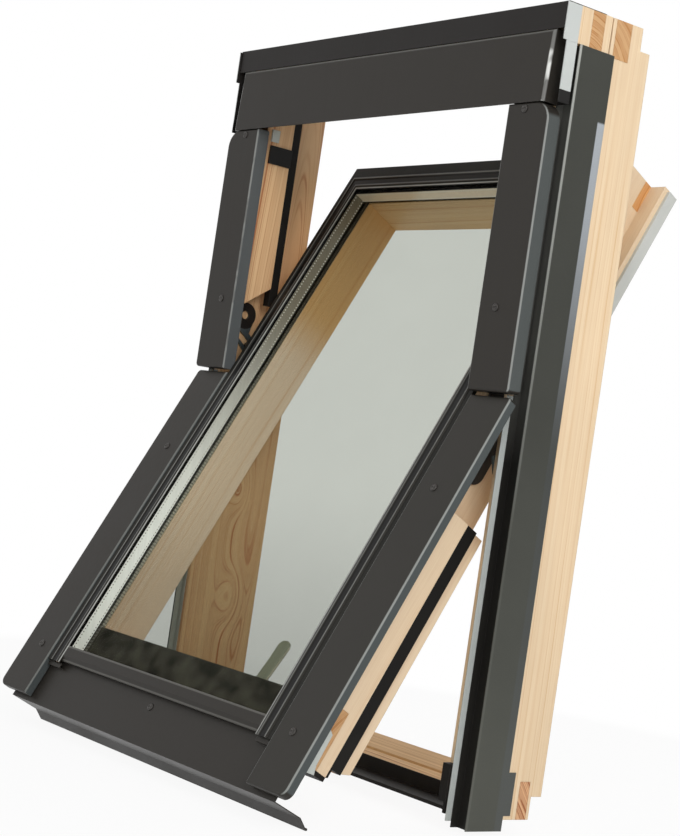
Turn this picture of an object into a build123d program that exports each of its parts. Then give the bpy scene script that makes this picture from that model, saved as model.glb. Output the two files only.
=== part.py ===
from build123d import *
from math import cos, radians, sin
import os

os.makedirs("parts", exist_ok=True)

# Centre-pivot roof window, millimetres. +X is right seen from outside, +Y points indoors, +Z runs up
# the jambs. The origin is the middle of the sill's underside.

# Frame timber
frame_width = 550.0
frame_height = 780.0
jamb_thickness = 29.5
jamb_depth = 98.0
head_depth = 84.5
head_height = 38.0
sill_depth = 73.0
sill_rear_height = 34.3
sill_riser_top = 17.0
sill_riser_run = 2.0
sill_slope_run = 39.0
tread_height = 2.5
sill_groove_set = 28.0
sill_groove_width = 4.0
sill_groove_depth = 3.0
rear_notch = 22.5
stop_thickness = 25.0
stop_depth = 37.0
stop_rise = 85.0
head_stop_drop = 26.0
kerf_width = 1.8
kerf_depth = 8.0
kerf_setback = 42.0
joint_gap = 0.1
overrun = 5.0

# Finger joints: each finger starts this far behind the timber's front face and has this width
head_finger_starts = (15.5, 48.0)
head_finger_widths = (17.0, 21.5)
sill_finger_start = 67.5
sill_finger_width = 13.5
sill_finger_height = 37.0

# Coated sheet of the frame
sheet = 1.0
cover_rise = 16.0
cover_setback = 4.6
cover_width = 58.4
cover_flange = 16.0
cover_fold_radius = 2.2
cover_corner_radius = 19.0
cover_pivot_radius = 4.5
upper_cover_rise = 8.0
upper_cover_front = 3.5
upper_clip_shares = (0.16, 0.77)
clip_height = 20.0
gutter_width = 17.0
gutter_depth = 9.5
gutter_top_drop = 36.0
gutter_overhang = 11.0
gutter_ridge = 6.0
gutter_side = 46.5
gutter_tab_run = 9.0
gutter_tab_bottom = 4.0
gutter_tab_height = 42.0
upstand_height = 7.0
upstand_foot = 7.5
upstand_rise = 7.0
upstand_bottom = -5.0
sill_block_height = 36.0
sill_block_bottom = 12.6
sill_block_depth = 9.4
sill_block_gap = 0.5
sill_block_tail = 2.0
hood_end_set = 14.0
hood_drop = 95.0
hood_top_drop = 24.5
hood_top_rise = 17.8
hood_bottom_rise = 20.8
hood_fold_radius = 4.0
hood_sheet = 1.8
flashing_end_set = 1.0
flashing_rise = 16.3
flashing_back = 34.0
end_plate_rise = 18.5
end_plate_foot = 12.0
side_plate_rise = 14.0
side_plate_lift = 12.0
plate_gap = 0.1

# Sash
open_angle = 27.66
pivot_lift = 7.0
sash_face_set = 6.5
sash_depth = 76.0
sash_bottom = 12.0
sash_head_gap = 3.5
sash_edge_set = 6.0
sash_edge_step = 7.0
sash_mid_set = 28.5
sash_side_gap = 2.0
sash_rear_set = 8.5
sash_rear_thickness = 18.0
wide_drop = 109.0
sash_wide_depth = 46.5
side_seal_depth = 14.4
flange_rise = 5.0
sash_foot_clearance = 2.3
foot_riser_gap = 3.5
foot_lift = 1.0
stile_sight = 27.0
top_rail_sight = 37.5
bottom_rail_top = 72.0
bottom_rail_set = 5.3

# Glazing
pane = 4.0
cavity = 16.0
glass_set = 3.0
glass_cover_side = 9.0
glass_bottom = 27.0
glass_cover_top = 5.0
glass_play = 1.5
spacer_width = 7.0
spacer_inset = 2.5
bedding = 4.0
bedding_rise = 3.0
block_spread_share = 0.6
block_length = 60.0

# Glazing beads: distances across the bead, outwards from its inner edge
bead_overlap_side = 4.0
bead_overlap_top = 1.5
bead_ridges = (5.0, 16.0)
bead_ridge_width = 1.6
bead_width = 18.5
bead_lip = 1.2
bead_crown = 2.2
bead_valley = 1.1
bead_shoulder = 1.7
bottom_bead_top = 36.7
bottom_bead_bottom = 19.0
bead_bottom = 16.0
bottom_bead_lip = 1.4
bottom_bead_foot = 2.0
gasket_height = 4.3
gasket_drop = 6.5

# Lower covers, apron and seals of the sash
lower_cover_overhang = 29.0
lower_cover_rise = 5.5
lower_cover_flange = 9.6
lower_cover_corner_radius = 9.0
apron_reach = 6.5
apron_bottom = -34.0
apron_flange_depth = 34.0
apron_flange_rise = 1.5
drip_run = 12.4
drip_drop = 6.0
seal_gap = 0.5
bottom_seal_height = 4.5
frame_seal_depth = 10.8
frame_seal_width = 11.0
head_seal_depth = 11.0
corner_plate_thickness = 1.2
corner_plate_points = ((11.5, 3.2), (19.3, 4.6), (32.5, 7.2), (29.5, 16.0), (28.5, 47.0), (23.5, 50.0),
                       (11.5, 50.0))
lip_reach = 4.0
lip_depth = 12.5
lip_set = 2.5

# Sash finger joints
top_finger_width = 9.5
top_finger_height = 33.0
bottom_finger_start = 21.5
bottom_finger_width = 12.0

# Pivot tracks: a curved slot centred on the pivot, with a short shoe of the sash in it
track_radius = 62.0
track_wall_inner = 4.0
track_wall_outer = 6.0
track_thickness = 3.0
lug_angles = (75.5, 50.0)
eye_set = 38.0
eye_rise = 76.0
eye_radius = 14.5
eye_hole = 5.0
track_half_angle = 75.5
slot_half_angle = 72.4
slot_half_width = 4.0
shoe_half_angle = 4.4
shoe_closed_angle = 67.5
shoe_clearance = 0.3
hinge_plate = 2.5
hinge_plate_lift = 42.0
hinge_plate_rise = 93.0
hinge_plate_depth = 44.0
hinge_plate_set = 9.5
hinge_plate_radius = 14.0
stud_radius = 5.0
stud_height = 3.0
stud_drop = 52.0
keeper_drop = 129.5
keeper_height = 21.0
keeper_depth = 31.0
keeper_set = 6.0
keeper_thickness = 2.6
catch_lift = 25.5
catch_height = 14.0
catch_depth = 10.0

# Handle and latch on the bottom rail
case_width = 84.0
case_depth = 10.0
case_bottom = 40.0
case_top = 70.0
case_radius = 4.0
case_wall = 2.5
lever_pivot_height = 60.0
lever_pivot_set = 23.0
lever_knuckle_radius = 7.0
lever_width = 16.0
lever_tip_radius = 6.0
lever_height = 88.0
lever_reach = 11.0
lever_waist_share = 0.65
lever_thickness = 6.0
lever_pin_radius = 3.0
lever_pin_play = 0.3
lug_width = 6.0
lug_gap = 0.4
bolt_width = 16.0
bolt_depth = 5.0
bolt_bottom = 32.0
bolt_top = 52.0
bolt_play = 0.4
bolt_lift = 12.0
pocket_play = 3.0
pocket_depth = 10.0
keeper_plate = 1.2
keeper_plate_width = 46.0
keeper_plate_margin = 7.0

# Screws of the covers
screw_radius = 4.0
screw_height = 0.9
screw_inset = 34.0
screw_taper = 35.0
upper_screw_sets = (6.0, 81.0)
lower_screw_drop = 102.0
lower_screw_height = 29.0
apron_screw_height = 7.0

# Places worked out from the sizes above
half_width = frame_width / 2
head_rear = sill_depth / 2
pine_front = head_rear - head_depth
jamb_rear = pine_front + jamb_depth
sill_front = -sill_depth / 2
sill_rear = sill_depth / 2
sill_step = sill_rear - sill_slope_run
jamb_inner = half_width - jamb_thickness
stop_inner = jamb_inner - stop_thickness
stop_rear = pine_front + stop_depth
head_bottom = frame_height - head_height
head_stop_bottom = head_bottom - head_stop_drop
pivot_height = frame_height / 2 + pivot_lift
stop_bottom = pivot_height + stop_rise
hood_width = frame_width - 2 * hood_end_set
hood_bottom = frame_height - hood_drop
hood_top = frame_height - hood_top_drop
flashing_width = frame_width - 2 * flashing_end_set
gutter_top = frame_height - gutter_top_drop
upstand_top = pivot_height + upstand_rise
end_plate_bottom = gutter_top - plate_gap
side_plate_bottom = hood_bottom + side_plate_lift
side_plate_top = end_plate_bottom - plate_gap
clip_bottom = hood_bottom - plate_gap
upper_cover_bottom = pivot_height + upper_cover_rise
upper_cover_top = hood_bottom
upper_clip_heights = [upper_cover_bottom + share * (upper_cover_top - upper_cover_bottom)
                      for share in upper_clip_shares]
keeper_bottom = frame_height - keeper_drop
catch_bottom = keeper_bottom + catch_lift
gutter_wall = half_width - gutter_width
gutter_floor = pine_front + gutter_depth
cover_plane = pine_front - cover_rise
upper_plane = cover_plane - upper_cover_front
cover_outer = half_width - cover_setback
cover_inner = cover_outer - cover_width
tread_top = tread_height + sheet
sill_slope = (sill_rear_height - sill_riser_top) / sill_slope_run
sash_face = cover_plane + sash_face_set
sash_rear = sash_face + sash_depth
sash_mid_half = jamb_inner - sash_mid_set
sash_edge_half = sash_mid_half - sash_edge_set
sash_wide_half = jamb_inner - sash_side_gap
sash_rear_half = jamb_inner - sash_rear_set
sash_top = head_stop_bottom - sash_head_gap
sash_wide_top = pivot_height - wide_drop
sash_flange_bottom = stop_bottom + flange_rise
sight_half = sash_mid_half - stile_sight
sight_top = sash_top - top_rail_sight
rear_face = sash_rear - sash_rear_thickness
wide_rear = sash_face + sash_wide_depth
low_rear_face = wide_rear + side_seal_depth
glass_half = sight_half + glass_cover_side
glass_top = sight_top + glass_cover_top
glass_front = cover_plane + glass_set
glass_rear = glass_front + 2 * pane + cavity
rebate_face = glass_rear + bedding
glass_slot_half = glass_half + glass_play
glass_slot_top = glass_top + glass_play
apron_face = sash_face + bottom_rail_set
apron_half = sash_wide_half + apron_reach
bead_inner_half = sight_half - bead_overlap_side
bead_inner_top = sight_top - bead_overlap_top
gasket_top = sash_top - gasket_drop
top_finger_bottom = sash_top - top_finger_height
hinge_plate_bottom = sash_wide_top + hinge_plate_lift
hinge_plate_top = pivot_height + hinge_plate_rise
block_spread = block_spread_share * glass_half
upper_screw_heights = (upper_cover_top - upper_screw_sets[0], upper_cover_bottom + upper_screw_sets[1])
lower_screw_heights = (pivot_height - lower_screw_drop, lower_screw_height)


def sill_top(y):
    return sill_riser_top + sill_slope * (y - sill_step)


# A sash piece is drawn shut, on planes that the open angle has turned about the pivot
shut = Location()
swing = Location((0, cover_plane, pivot_height), (-open_angle, 0, 0))
swing = swing * Location((0, -cover_plane, -pivot_height))


def level(z, place=shut):
    return Plane(place * Plane.XY.offset(z).location)


def side_view(x, place=shut):
    return Plane(place * Plane.YZ.offset(x).location)


def front_view(y, place=shut):
    return Plane(place * Plane.XZ.offset(-y).location)


def save(piece, name):
    piece.part.label = name
    export_step(piece.part, f"parts/{name}.step")


def save_pair(piece, name):
    save(piece, f"right_{name}")
    with BuildPart() as twin:
        mirror(piece.part, about=Plane.YZ)
    save(twin, f"left_{name}")


def prism(points, plane, length):
    with BuildPart() as piece:
        with BuildSketch(plane):
            with BuildLine():
                Polyline(*points, close=True)
            make_face()
        extrude(amount=length)
    return piece


def rect(low_x, low_y, high_x, high_y):
    return [(low_x, low_y), (high_x, low_y), (high_x, high_y), (low_x, high_y)]


# Frame timber
head_fingers = [(pine_front + start, pine_front + start + width)
                for start, width in zip(head_finger_starts, head_finger_widths)]
sill_finger = (pine_front + sill_finger_start, pine_front + sill_finger_start + sill_finger_width)

with BuildPart() as jamb:
    with BuildSketch(side_view(jamb_inner)):
        with BuildLine():
            Polyline((pine_front, 0), (sill_rear, 0), (sill_rear, rear_notch), (jamb_rear, rear_notch),
                     (jamb_rear, frame_height - rear_notch), (head_rear, frame_height - rear_notch),
                     (head_rear, frame_height), (pine_front, frame_height), close=True)
        make_face()
    extrude(amount=jamb_thickness)
    with BuildSketch(side_view(stop_inner)):
        with BuildLine():
            Polyline((pine_front, stop_bottom), (stop_rear, stop_bottom + stop_thickness),
                     (stop_rear, head_bottom), (pine_front, head_bottom), close=True)
        make_face()
    extrude(amount=stop_thickness)
    with BuildSketch(side_view(gutter_wall)):
        with BuildLine():
            Polyline(*rect(pine_front - overrun, -overrun, gutter_floor, gutter_top), close=True)
        make_face()
    extrude(amount=gutter_width + overrun, mode=Mode.SUBTRACT)
    with BuildSketch(side_view(half_width - kerf_depth)):
        with BuildLine():
            Polyline(*rect(pine_front + kerf_setback, -overrun, pine_front + kerf_setback + kerf_width,
                           frame_height + overrun), close=True)
        make_face()
    extrude(amount=kerf_depth + overrun, mode=Mode.SUBTRACT)
    with BuildSketch(side_view(jamb_inner - overrun)):
        for low, high in head_fingers:
            with BuildLine():
                Polyline(*rect(low - joint_gap, head_bottom - joint_gap, high + joint_gap,
                               frame_height + overrun), close=True)
            make_face()
        with BuildLine():
            Polyline(*rect(sill_finger[0] - joint_gap, -overrun, sill_finger[1] + joint_gap,
                           sill_finger_height + joint_gap), close=True)
        make_face()
    extrude(amount=jamb_thickness + 2 * overrun, mode=Mode.SUBTRACT)
save_pair(jamb, "jamb")

with BuildPart() as head_rail:
    with BuildSketch(side_view(-jamb_inner)):
        with BuildLine():
            Polyline(*rect(pine_front, head_bottom, head_rear, frame_height), close=True)
        make_face()
    extrude(amount=2 * jamb_inner)
    with BuildSketch(side_view(-stop_inner)):
        with BuildLine():
            Polyline(*rect(pine_front, head_stop_bottom, stop_rear, head_bottom), close=True)
        make_face()
    extrude(amount=2 * stop_inner)
    with BuildSketch(side_view(-half_width)):
        for low, high in head_fingers:
            with BuildLine():
                Polyline(*rect(low, head_bottom, high, frame_height), close=True)
            make_face()
    extrude(amount=frame_width)
save(head_rail, "head_rail")

groove_rear = sill_rear - sill_groove_set + sill_groove_width
groove_front = sill_rear - sill_groove_set
bolt_front = sash_rear + case_wall
bolt_rear = bolt_front + bolt_depth
with BuildPart() as sill_rail:
    with BuildSketch(side_view(-jamb_inner)):
        with BuildLine():
            Polyline((sill_front, 0), (sill_rear, 0), (sill_rear, sill_rear_height),
                     (groove_rear, sill_top(groove_rear)),
                     (groove_rear, sill_top(groove_rear) - sill_groove_depth),
                     (groove_front, sill_top(groove_front)),
                     (sill_step, sill_riser_top), (sill_step - sill_riser_run, tread_height),
                     (sill_front, tread_height), close=True)
        make_face()
    extrude(amount=2 * jamb_inner)
    for side in (-1, 1):
        with BuildSketch(side_view(side * jamb_inner)):
            with BuildLine():
                Polyline(*rect(sill_finger[0], 0, sill_finger[1], sill_finger_height), close=True)
            make_face()
        extrude(amount=side * jamb_thickness)
    with BuildSketch(level(bolt_bottom - pocket_depth)):
        with BuildLine():
            Polyline(*rect(-bolt_width / 2 - pocket_play, bolt_front - pocket_play,
                           bolt_width / 2 + pocket_play, bolt_rear + pocket_play), close=True)
        make_face()
    extrude(amount=sill_rear_height, mode=Mode.SUBTRACT)
save(sill_rail, "sill_rail")

# Coated sheet of the frame
gutter_rear = gutter_floor - gutter_ridge + gutter_side
with BuildPart() as gutter:
    with BuildSketch(level(-gutter_overhang)):
        with BuildLine():
            Polyline((gutter_wall, pine_front), (gutter_wall + sheet, pine_front),
                     (gutter_wall + sheet, gutter_floor - sheet), (half_width, gutter_floor - sheet),
                     (half_width, gutter_floor - gutter_ridge),
                     (half_width + sheet, gutter_floor - gutter_ridge),
                     (half_width + sheet, gutter_rear), (half_width, gutter_rear), (half_width, gutter_floor),
                     (gutter_wall, gutter_floor), close=True)
        make_face()
    extrude(amount=gutter_top + gutter_overhang)
    with BuildSketch(level(gutter_tab_bottom)):
        with BuildLine():
            Polyline(*rect(half_width, gutter_rear, half_width + sheet, gutter_rear + gutter_tab_run),
                     close=True)
        make_face()
    extrude(amount=gutter_tab_height)
save_pair(gutter, "gutter")

upstand = prism(
    [(gutter_wall - upstand_foot, pine_front - sheet), (gutter_wall - sheet, pine_front - sheet),
     (gutter_wall - sheet, pine_front - upstand_height), (gutter_wall, pine_front - upstand_height),
     (gutter_wall, pine_front), (gutter_wall - upstand_foot, pine_front)],
    level(upstand_bottom), upstand_top - upstand_bottom)
save_pair(upstand, "upstand")

sill_cover = prism(
    [(sill_front - sheet, 0), (sill_front, 0), (sill_front, tread_height),
     (sill_step - sill_riser_run, tread_height), (sill_step, sill_riser_top),
     (sill_step, sill_riser_top + sheet), (sill_step - sheet, sill_riser_top + sheet),
     (sill_step - sill_riser_run - sheet, tread_top), (sill_front - sheet, tread_top)],
    side_view(joint_gap - jamb_inner), 2 * (jamb_inner - joint_gap))
save(sill_cover, "sill_cover")

sill_block = prism(
    rect(jamb_inner + sill_block_gap, pine_front - sill_block_depth,
         gutter_wall - sheet - sill_block_gap, pine_front - sheet),
    level(sill_block_bottom), sill_block_height)
with BuildPart() as sill_block_seated:
    add(sill_block.part)
    with BuildSketch(level(0)):
        with BuildLine():
            Polyline(*rect(jamb_inner + sill_block_gap, pine_front - sill_block_tail,
                           gutter_wall - upstand_foot - sill_block_gap, pine_front), close=True)
        make_face()
    extrude(amount=sill_block_bottom + sill_block_height)
save_pair(sill_block_seated, "sill_block")

hood_outline = [(pine_front, hood_bottom), (pine_front - hood_bottom_rise, hood_bottom),
                (pine_front - hood_top_rise, hood_top), (pine_front, hood_top)]
hood_mouth_half = sash_mid_half + sash_side_gap
hood_hollow = [(pine_front + overrun, hood_bottom + hood_sheet),
               (pine_front - hood_bottom_rise + hood_sheet, hood_bottom + hood_sheet),
               (pine_front - hood_top_rise + hood_sheet, hood_top - hood_sheet),
               (pine_front + overrun, hood_top - hood_sheet)]
with BuildPart() as hood:
    with BuildSketch(side_view(-hood_width / 2)):
        with BuildLine():
            Polyline(*hood_outline, close=True)
        make_face()
    extrude(amount=hood_width)
    front_edges = faces().sort_by(Axis.Y)[0].edges()
    fillet(front_edges.sort_by(Axis.Z)[1:], hood_fold_radius)
    with BuildSketch(side_view(hood_sheet - hood_width / 2)):
        with BuildLine():
            Polyline(*hood_hollow, close=True)
        make_face()
    extrude(amount=hood_width - 2 * hood_sheet, mode=Mode.SUBTRACT)
    # The shut sash reaches up into the hood between its closed ends
    with BuildSketch(level(hood_bottom - overrun)):
        with BuildLine():
            Polyline(*rect(-hood_mouth_half, pine_front - hood_bottom_rise + hood_sheet,
                           hood_mouth_half, pine_front + overrun), close=True)
        make_face()
    extrude(amount=hood_sheet + 2 * overrun, mode=Mode.SUBTRACT)
save(hood, "hood")

flashing_front = pine_front - flashing_rise
head_flashing = prism(
    [(flashing_front, hood_top + joint_gap), (flashing_front + sheet, hood_top + joint_gap),
     (flashing_front + sheet, frame_height), (pine_front + flashing_back, frame_height),
     (pine_front + flashing_back, frame_height + sheet), (flashing_front, frame_height + sheet)],
    side_view(-flashing_width / 2), flashing_width)
save(head_flashing, "head_flashing")


def edge_plate(bottom, top, rise, foot):
    # Plate on edge at the frame's side, with a foot that lies on the timber's front
    return prism(
        [(half_width - sheet, pine_front - rise), (half_width, pine_front - rise),
         (half_width, pine_front), (half_width - foot, pine_front),
         (half_width - foot, pine_front - sheet), (half_width - sheet, pine_front - sheet)],
        level(bottom), top - bottom)


plate_foot = half_width - hood_width / 2
end_plate = edge_plate(end_plate_bottom, frame_height - plate_gap, end_plate_rise, end_plate_foot)
save_pair(end_plate, "end_plate")
save_pair(edge_plate(side_plate_bottom, side_plate_top, side_plate_rise, plate_foot), "side_plate")
save_pair(edge_plate(clip_bottom, side_plate_bottom - plate_gap, side_plate_rise, plate_foot), "cover_clip")


def cover_outline(bottom, top, corner_height, corner_radius, inset):
    # Front outline of a side cover; its outer corners are rounded, less so at the pivot
    with BuildSketch() as outline:
        with BuildLine():
            Polyline(*rect(cover_inner + inset, bottom + inset, cover_outer - inset, top - inset), close=True)
        make_face()
        pivot_end = bottom + top - corner_height
        for height, radius in ((corner_height, corner_radius), (pivot_end, cover_pivot_radius)):
            corner = vertices().sort_by(lambda v: abs(v.X - cover_outer) + abs(v.Y - height))[0]
            fillet(corner, radius - inset)
    return outline.sketch


def folded_cover(bottom, top, corner_height, corner_radius, plane, flange, place):
    # Tray of folded sheet, open behind
    with BuildPart() as tray:
        with BuildSketch(front_view(plane + flange, place)):
            add(cover_outline(bottom, top, corner_height, corner_radius, 0))
        extrude(amount=flange)
        front = faces().filter_by(front_view(0, place)).sort_by(Axis.Y)[0]
        fillet(front.edges(), cover_fold_radius)
        with BuildSketch(front_view(plane + flange, place)):
            add(cover_outline(bottom, top, corner_height, corner_radius, sheet))
        extrude(amount=flange - sheet, mode=Mode.SUBTRACT)
    return tray


upper_tray = folded_cover(upper_cover_bottom, upper_cover_top, upper_cover_top, cover_corner_radius,
                          upper_plane, cover_flange, shut)
with BuildPart() as upper_cover:
    add(upper_tray.part)
    for height in upper_clip_heights:
        with BuildSketch(level(height)):
            with BuildLine():
                Polyline(*rect(jamb_inner, upper_plane + sheet, gutter_wall - sheet, pine_front),
                         close=True)
            make_face()
        extrude(amount=clip_height)
save_pair(upper_cover, "upper_cover")

# Seals and fittings of the frame
seal_rear = stop_rear + frame_seal_depth
seal_inner = stop_inner + seal_gap
frame_seal = prism(rect(seal_inner, stop_rear, seal_inner + frame_seal_width, seal_rear),
                   level(sash_flange_bottom), head_stop_bottom - sash_flange_bottom)
with BuildPart() as frame_seal_fitted:
    add(frame_seal.part)
    with BuildSketch(level(sash_flange_bottom - overrun)):
        with BuildLine():
            Polyline(*rect(stop_inner, stop_rear - overrun, jamb_inner, stop_rear), close=True)
        make_face()
    extrude(amount=overrun, mode=Mode.SUBTRACT)
save_pair(frame_seal_fitted, "frame_seal")

head_seal = prism(rect(stop_rear, head_stop_bottom, seal_rear, head_stop_bottom + head_seal_depth),
                  side_view(-stop_inner), 2 * stop_inner)
save(head_seal, "head_seal")

keeper_front = pine_front + keeper_set
keeper_view = side_view(stop_inner - keeper_thickness)
keeper = prism(rect(keeper_front, keeper_bottom, keeper_front + keeper_depth, keeper_bottom + keeper_height),
               keeper_view, keeper_thickness)
save_pair(keeper, "keeper")

catch = prism(rect(keeper_front, catch_bottom, keeper_front + catch_depth, catch_bottom + catch_height),
              keeper_view, keeper_thickness)
save_pair(catch, "catch")


def on_ring(radius, angle):
    turn = radians(angle)
    return (cover_plane + radius * cos(turn), pivot_height + radius * sin(turn))


def ring_sector(inner, outer, low_angle, high_angle):
    # Sector of a ring about the pivot, for a side view
    middle = (low_angle + high_angle) / 2
    corners = [on_ring(radius, angle)
               for radius in (inner, outer)
               for angle in (low_angle, middle, high_angle)]
    with BuildSketch() as sector:
        with BuildLine():
            ThreePointArc(corners[0], corners[1], corners[2])
            Line(corners[2], corners[5])
            ThreePointArc(corners[5], corners[4], corners[3])
            Line(corners[3], corners[0])
        make_face()
    return sector.sketch


slot_inner = track_radius - slot_half_width
slot_outer = track_radius + slot_half_width
track_ring_inner = slot_inner - track_wall_inner
track_ring_outer = slot_outer + track_wall_outer
eye = (cover_plane + eye_set, pivot_height + eye_rise)
with BuildPart() as hinge_track:
    with BuildSketch(side_view(jamb_inner - track_thickness)):
        add(ring_sector(track_ring_inner, track_ring_outer, -track_half_angle, track_half_angle))
        with BuildLine():
            Polyline(on_ring(track_ring_outer, lug_angles[0]), (eye[0] - eye_radius, eye[1]),
                     (eye[0] + eye_radius, eye[1]), on_ring(track_ring_outer, lug_angles[1]), close=True)
        make_face()
        with Locations(eye):
            Circle(eye_radius)
    extrude(amount=track_thickness)
    with BuildSketch(side_view(jamb_inner - track_thickness)):
        add(ring_sector(slot_inner, slot_outer, -slot_half_angle, slot_half_angle))
        with Locations(eye):
            Circle(eye_hole)
    extrude(amount=track_thickness, mode=Mode.SUBTRACT)
save_pair(hinge_track, "hinge_track")

plate_front = bolt_front - keeper_plate_margin
plate_rear = bolt_rear + keeper_plate_margin
with BuildPart() as sill_keeper:
    with BuildSketch(side_view(-keeper_plate_width / 2)):
        with BuildLine():
            Polyline((plate_front, sill_top(plate_front)), (plate_rear, sill_top(plate_rear)),
                     (plate_rear, sill_top(plate_rear) + keeper_plate),
                     (plate_front, sill_top(plate_front) + keeper_plate), close=True)
        make_face()
    extrude(amount=keeper_plate_width)
    with BuildSketch(level(0)):
        with BuildLine():
            Polyline(*rect(-bolt_width / 2 - pocket_play, bolt_front - pocket_play,
                           bolt_width / 2 + pocket_play, bolt_rear + pocket_play), close=True)
        make_face()
    extrude(amount=sill_rear_height + keeper_plate, mode=Mode.SUBTRACT)
save(sill_keeper, "sill_keeper")


def screw_heads(spots, place):
    # Domed heads standing on the front; each spot is across, depth, height
    with BuildPart() as heads:
        for across, depth, height in spots:
            with BuildSketch(front_view(depth, place)):
                with Locations((across, height)):
                    Circle(screw_radius)
            extrude(amount=screw_height, taper=screw_taper)
    return heads


screw_across = cover_outer - screw_inset
frame_spots = [(side * screw_across, upper_plane, height)
               for side in (-1, 1) for height in upper_screw_heights]
save(screw_heads(frame_spots, shut), "frame_screws")

# Sash timber
foot_riser = sill_step - sill_riser_run - foot_riser_gap
foot_front = (wide_rear, sash_bottom)
foot_line = [foot_front, (foot_riser, sash_bottom + foot_lift),
             (foot_riser, sill_top(low_rear_face) + sash_foot_clearance),
             (low_rear_face, sill_top(low_rear_face) + sash_foot_clearance),
             (sash_rear, sill_top(sash_rear) + sash_foot_clearance)]
top_finger = (rear_face - top_finger_width, rear_face)
bottom_finger = (sash_face + bottom_finger_start, sash_face + bottom_finger_start + bottom_finger_width)

with BuildPart() as stile:
    with BuildSketch(level(sash_flange_bottom, swing)):
        with BuildLine():
            Polyline((sight_half, rebate_face), (glass_slot_half, rebate_face), (glass_slot_half, sash_face),
                     (sash_edge_half, sash_face), (sash_edge_half, sash_face + sash_edge_step),
                     (sash_mid_half, sash_face + sash_edge_step), (sash_mid_half, rear_face),
                     (sash_rear_half, rear_face), (sash_rear_half, sash_rear), (sight_half, sash_rear),
                     close=True)
        make_face()
    extrude(amount=sash_top - sash_flange_bottom)
    with BuildSketch(level(sash_wide_top, swing)):
        with BuildLine():
            Polyline((sight_half, rebate_face), (glass_slot_half, rebate_face), (glass_slot_half, sash_face),
                     (sash_edge_half, sash_face), (sash_edge_half, sash_face + sash_edge_step),
                     (sash_mid_half, sash_face + sash_edge_step), (sash_mid_half, sash_rear),
                     (sight_half, sash_rear), close=True)
        make_face()
    extrude(amount=sash_flange_bottom - sash_wide_top)
    with BuildSketch(side_view(sight_half, swing)):
        with BuildLine():
            Polyline((sash_face, sash_bottom), *foot_line, (sash_rear, sash_wide_top),
                     (sash_face, sash_wide_top), close=True)
        make_face()
    extrude(amount=sash_wide_half - sight_half)
    with BuildSketch(side_view(sash_rear_half, swing)):
        with BuildLine():
            Polyline(*rect(wide_rear, 0, sash_rear + overrun, sash_wide_top + overrun), close=True)
        make_face()
    extrude(amount=sash_wide_half - sash_rear_half + overrun, mode=Mode.SUBTRACT)
    with BuildSketch(level(0, swing)):
        with BuildLine():
            Polyline(*rect(sight_half - overrun, sash_face - overrun, glass_slot_half, rebate_face),
                     close=True)
        make_face()
    extrude(amount=sash_wide_top, mode=Mode.SUBTRACT)
    with BuildSketch(level(gasket_top, swing)):
        with BuildLine():
            Polyline(*rect(sight_half - overrun, sash_face - overrun, sash_wide_half,
                           sash_face + sash_edge_step), close=True)
        make_face()
    extrude(amount=sash_top, mode=Mode.SUBTRACT)
    with BuildSketch(side_view(sight_half - overrun, swing)):
        with BuildLine():
            Polyline(*rect(top_finger[0] - joint_gap, top_finger_bottom - joint_gap,
                           top_finger[1] + joint_gap, sash_top + overrun), close=True)
        make_face()
    extrude(amount=sash_mid_half - sight_half + overrun, mode=Mode.SUBTRACT)
    with BuildSketch(side_view(sight_half - overrun, swing)):
        with BuildLine():
            Polyline(*rect(bottom_finger[0] - joint_gap, 0, bottom_finger[1] + joint_gap,
                           bottom_rail_top + joint_gap), close=True)
        make_face()
    extrude(amount=sash_wide_half, mode=Mode.SUBTRACT)
save_pair(stile, "stile")

ledge_half = glass_slot_half - joint_gap
with BuildPart() as top_rail:
    with BuildSketch(side_view(-sight_half, swing)):
        with BuildLine():
            Polyline((rebate_face, sight_top), (sash_rear, sight_top), (sash_rear, sash_top),
                     (rebate_face, sash_top), close=True)
        make_face()
    extrude(amount=2 * sight_half)
    with BuildSketch(side_view(-ledge_half, swing)):
        with BuildLine():
            Polyline((rebate_face, glass_slot_top), (rebate_face, sash_top),
                     (sash_face + sash_edge_step, sash_top),
                     (sash_face + sash_edge_step, gasket_top), (sash_face, gasket_top),
                     (sash_face, glass_slot_top), close=True)
        make_face()
    extrude(amount=2 * ledge_half)
    with BuildSketch(side_view(-sash_mid_half, swing)):
        with BuildLine():
            Polyline(*rect(top_finger[0], top_finger_bottom, top_finger[1], sash_top), close=True)
        make_face()
    extrude(amount=2 * sash_mid_half)
save(top_rail, "top_rail")

ledge_height = glass_bottom - glass_play
with BuildPart() as bottom_rail:
    with BuildSketch(side_view(-sight_half, swing)):
        with BuildLine():
            Polyline((rebate_face, sash_bottom), *foot_line, (sash_rear, bottom_rail_top),
                     (rebate_face, bottom_rail_top), close=True)
        make_face()
    extrude(amount=2 * sight_half)
    with BuildSketch(side_view(-ledge_half, swing)):
        with BuildLine():
            Polyline(*rect(apron_face, sash_bottom, rebate_face, ledge_height), close=True)
        make_face()
    extrude(amount=2 * ledge_half)
    for side in (-1, 1):
        for start, front in ((sight_half, rebate_face), (ledge_half, bottom_finger[0])):
            with BuildSketch(side_view(side * start, swing)):
                with BuildLine():
                    Polyline(*rect(front, sash_bottom, bottom_finger[1], bottom_rail_top), close=True)
                make_face()
            extrude(amount=side * (sash_wide_half - start))
save(bottom_rail, "bottom_rail")

# Double glazing
pane_outline = rect(-glass_half, glass_bottom, glass_half, glass_top)
save(prism(pane_outline, front_view(glass_front + pane, swing), pane), "outer_pane")
save(prism(pane_outline, front_view(glass_rear, swing), pane), "inner_pane")


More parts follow.
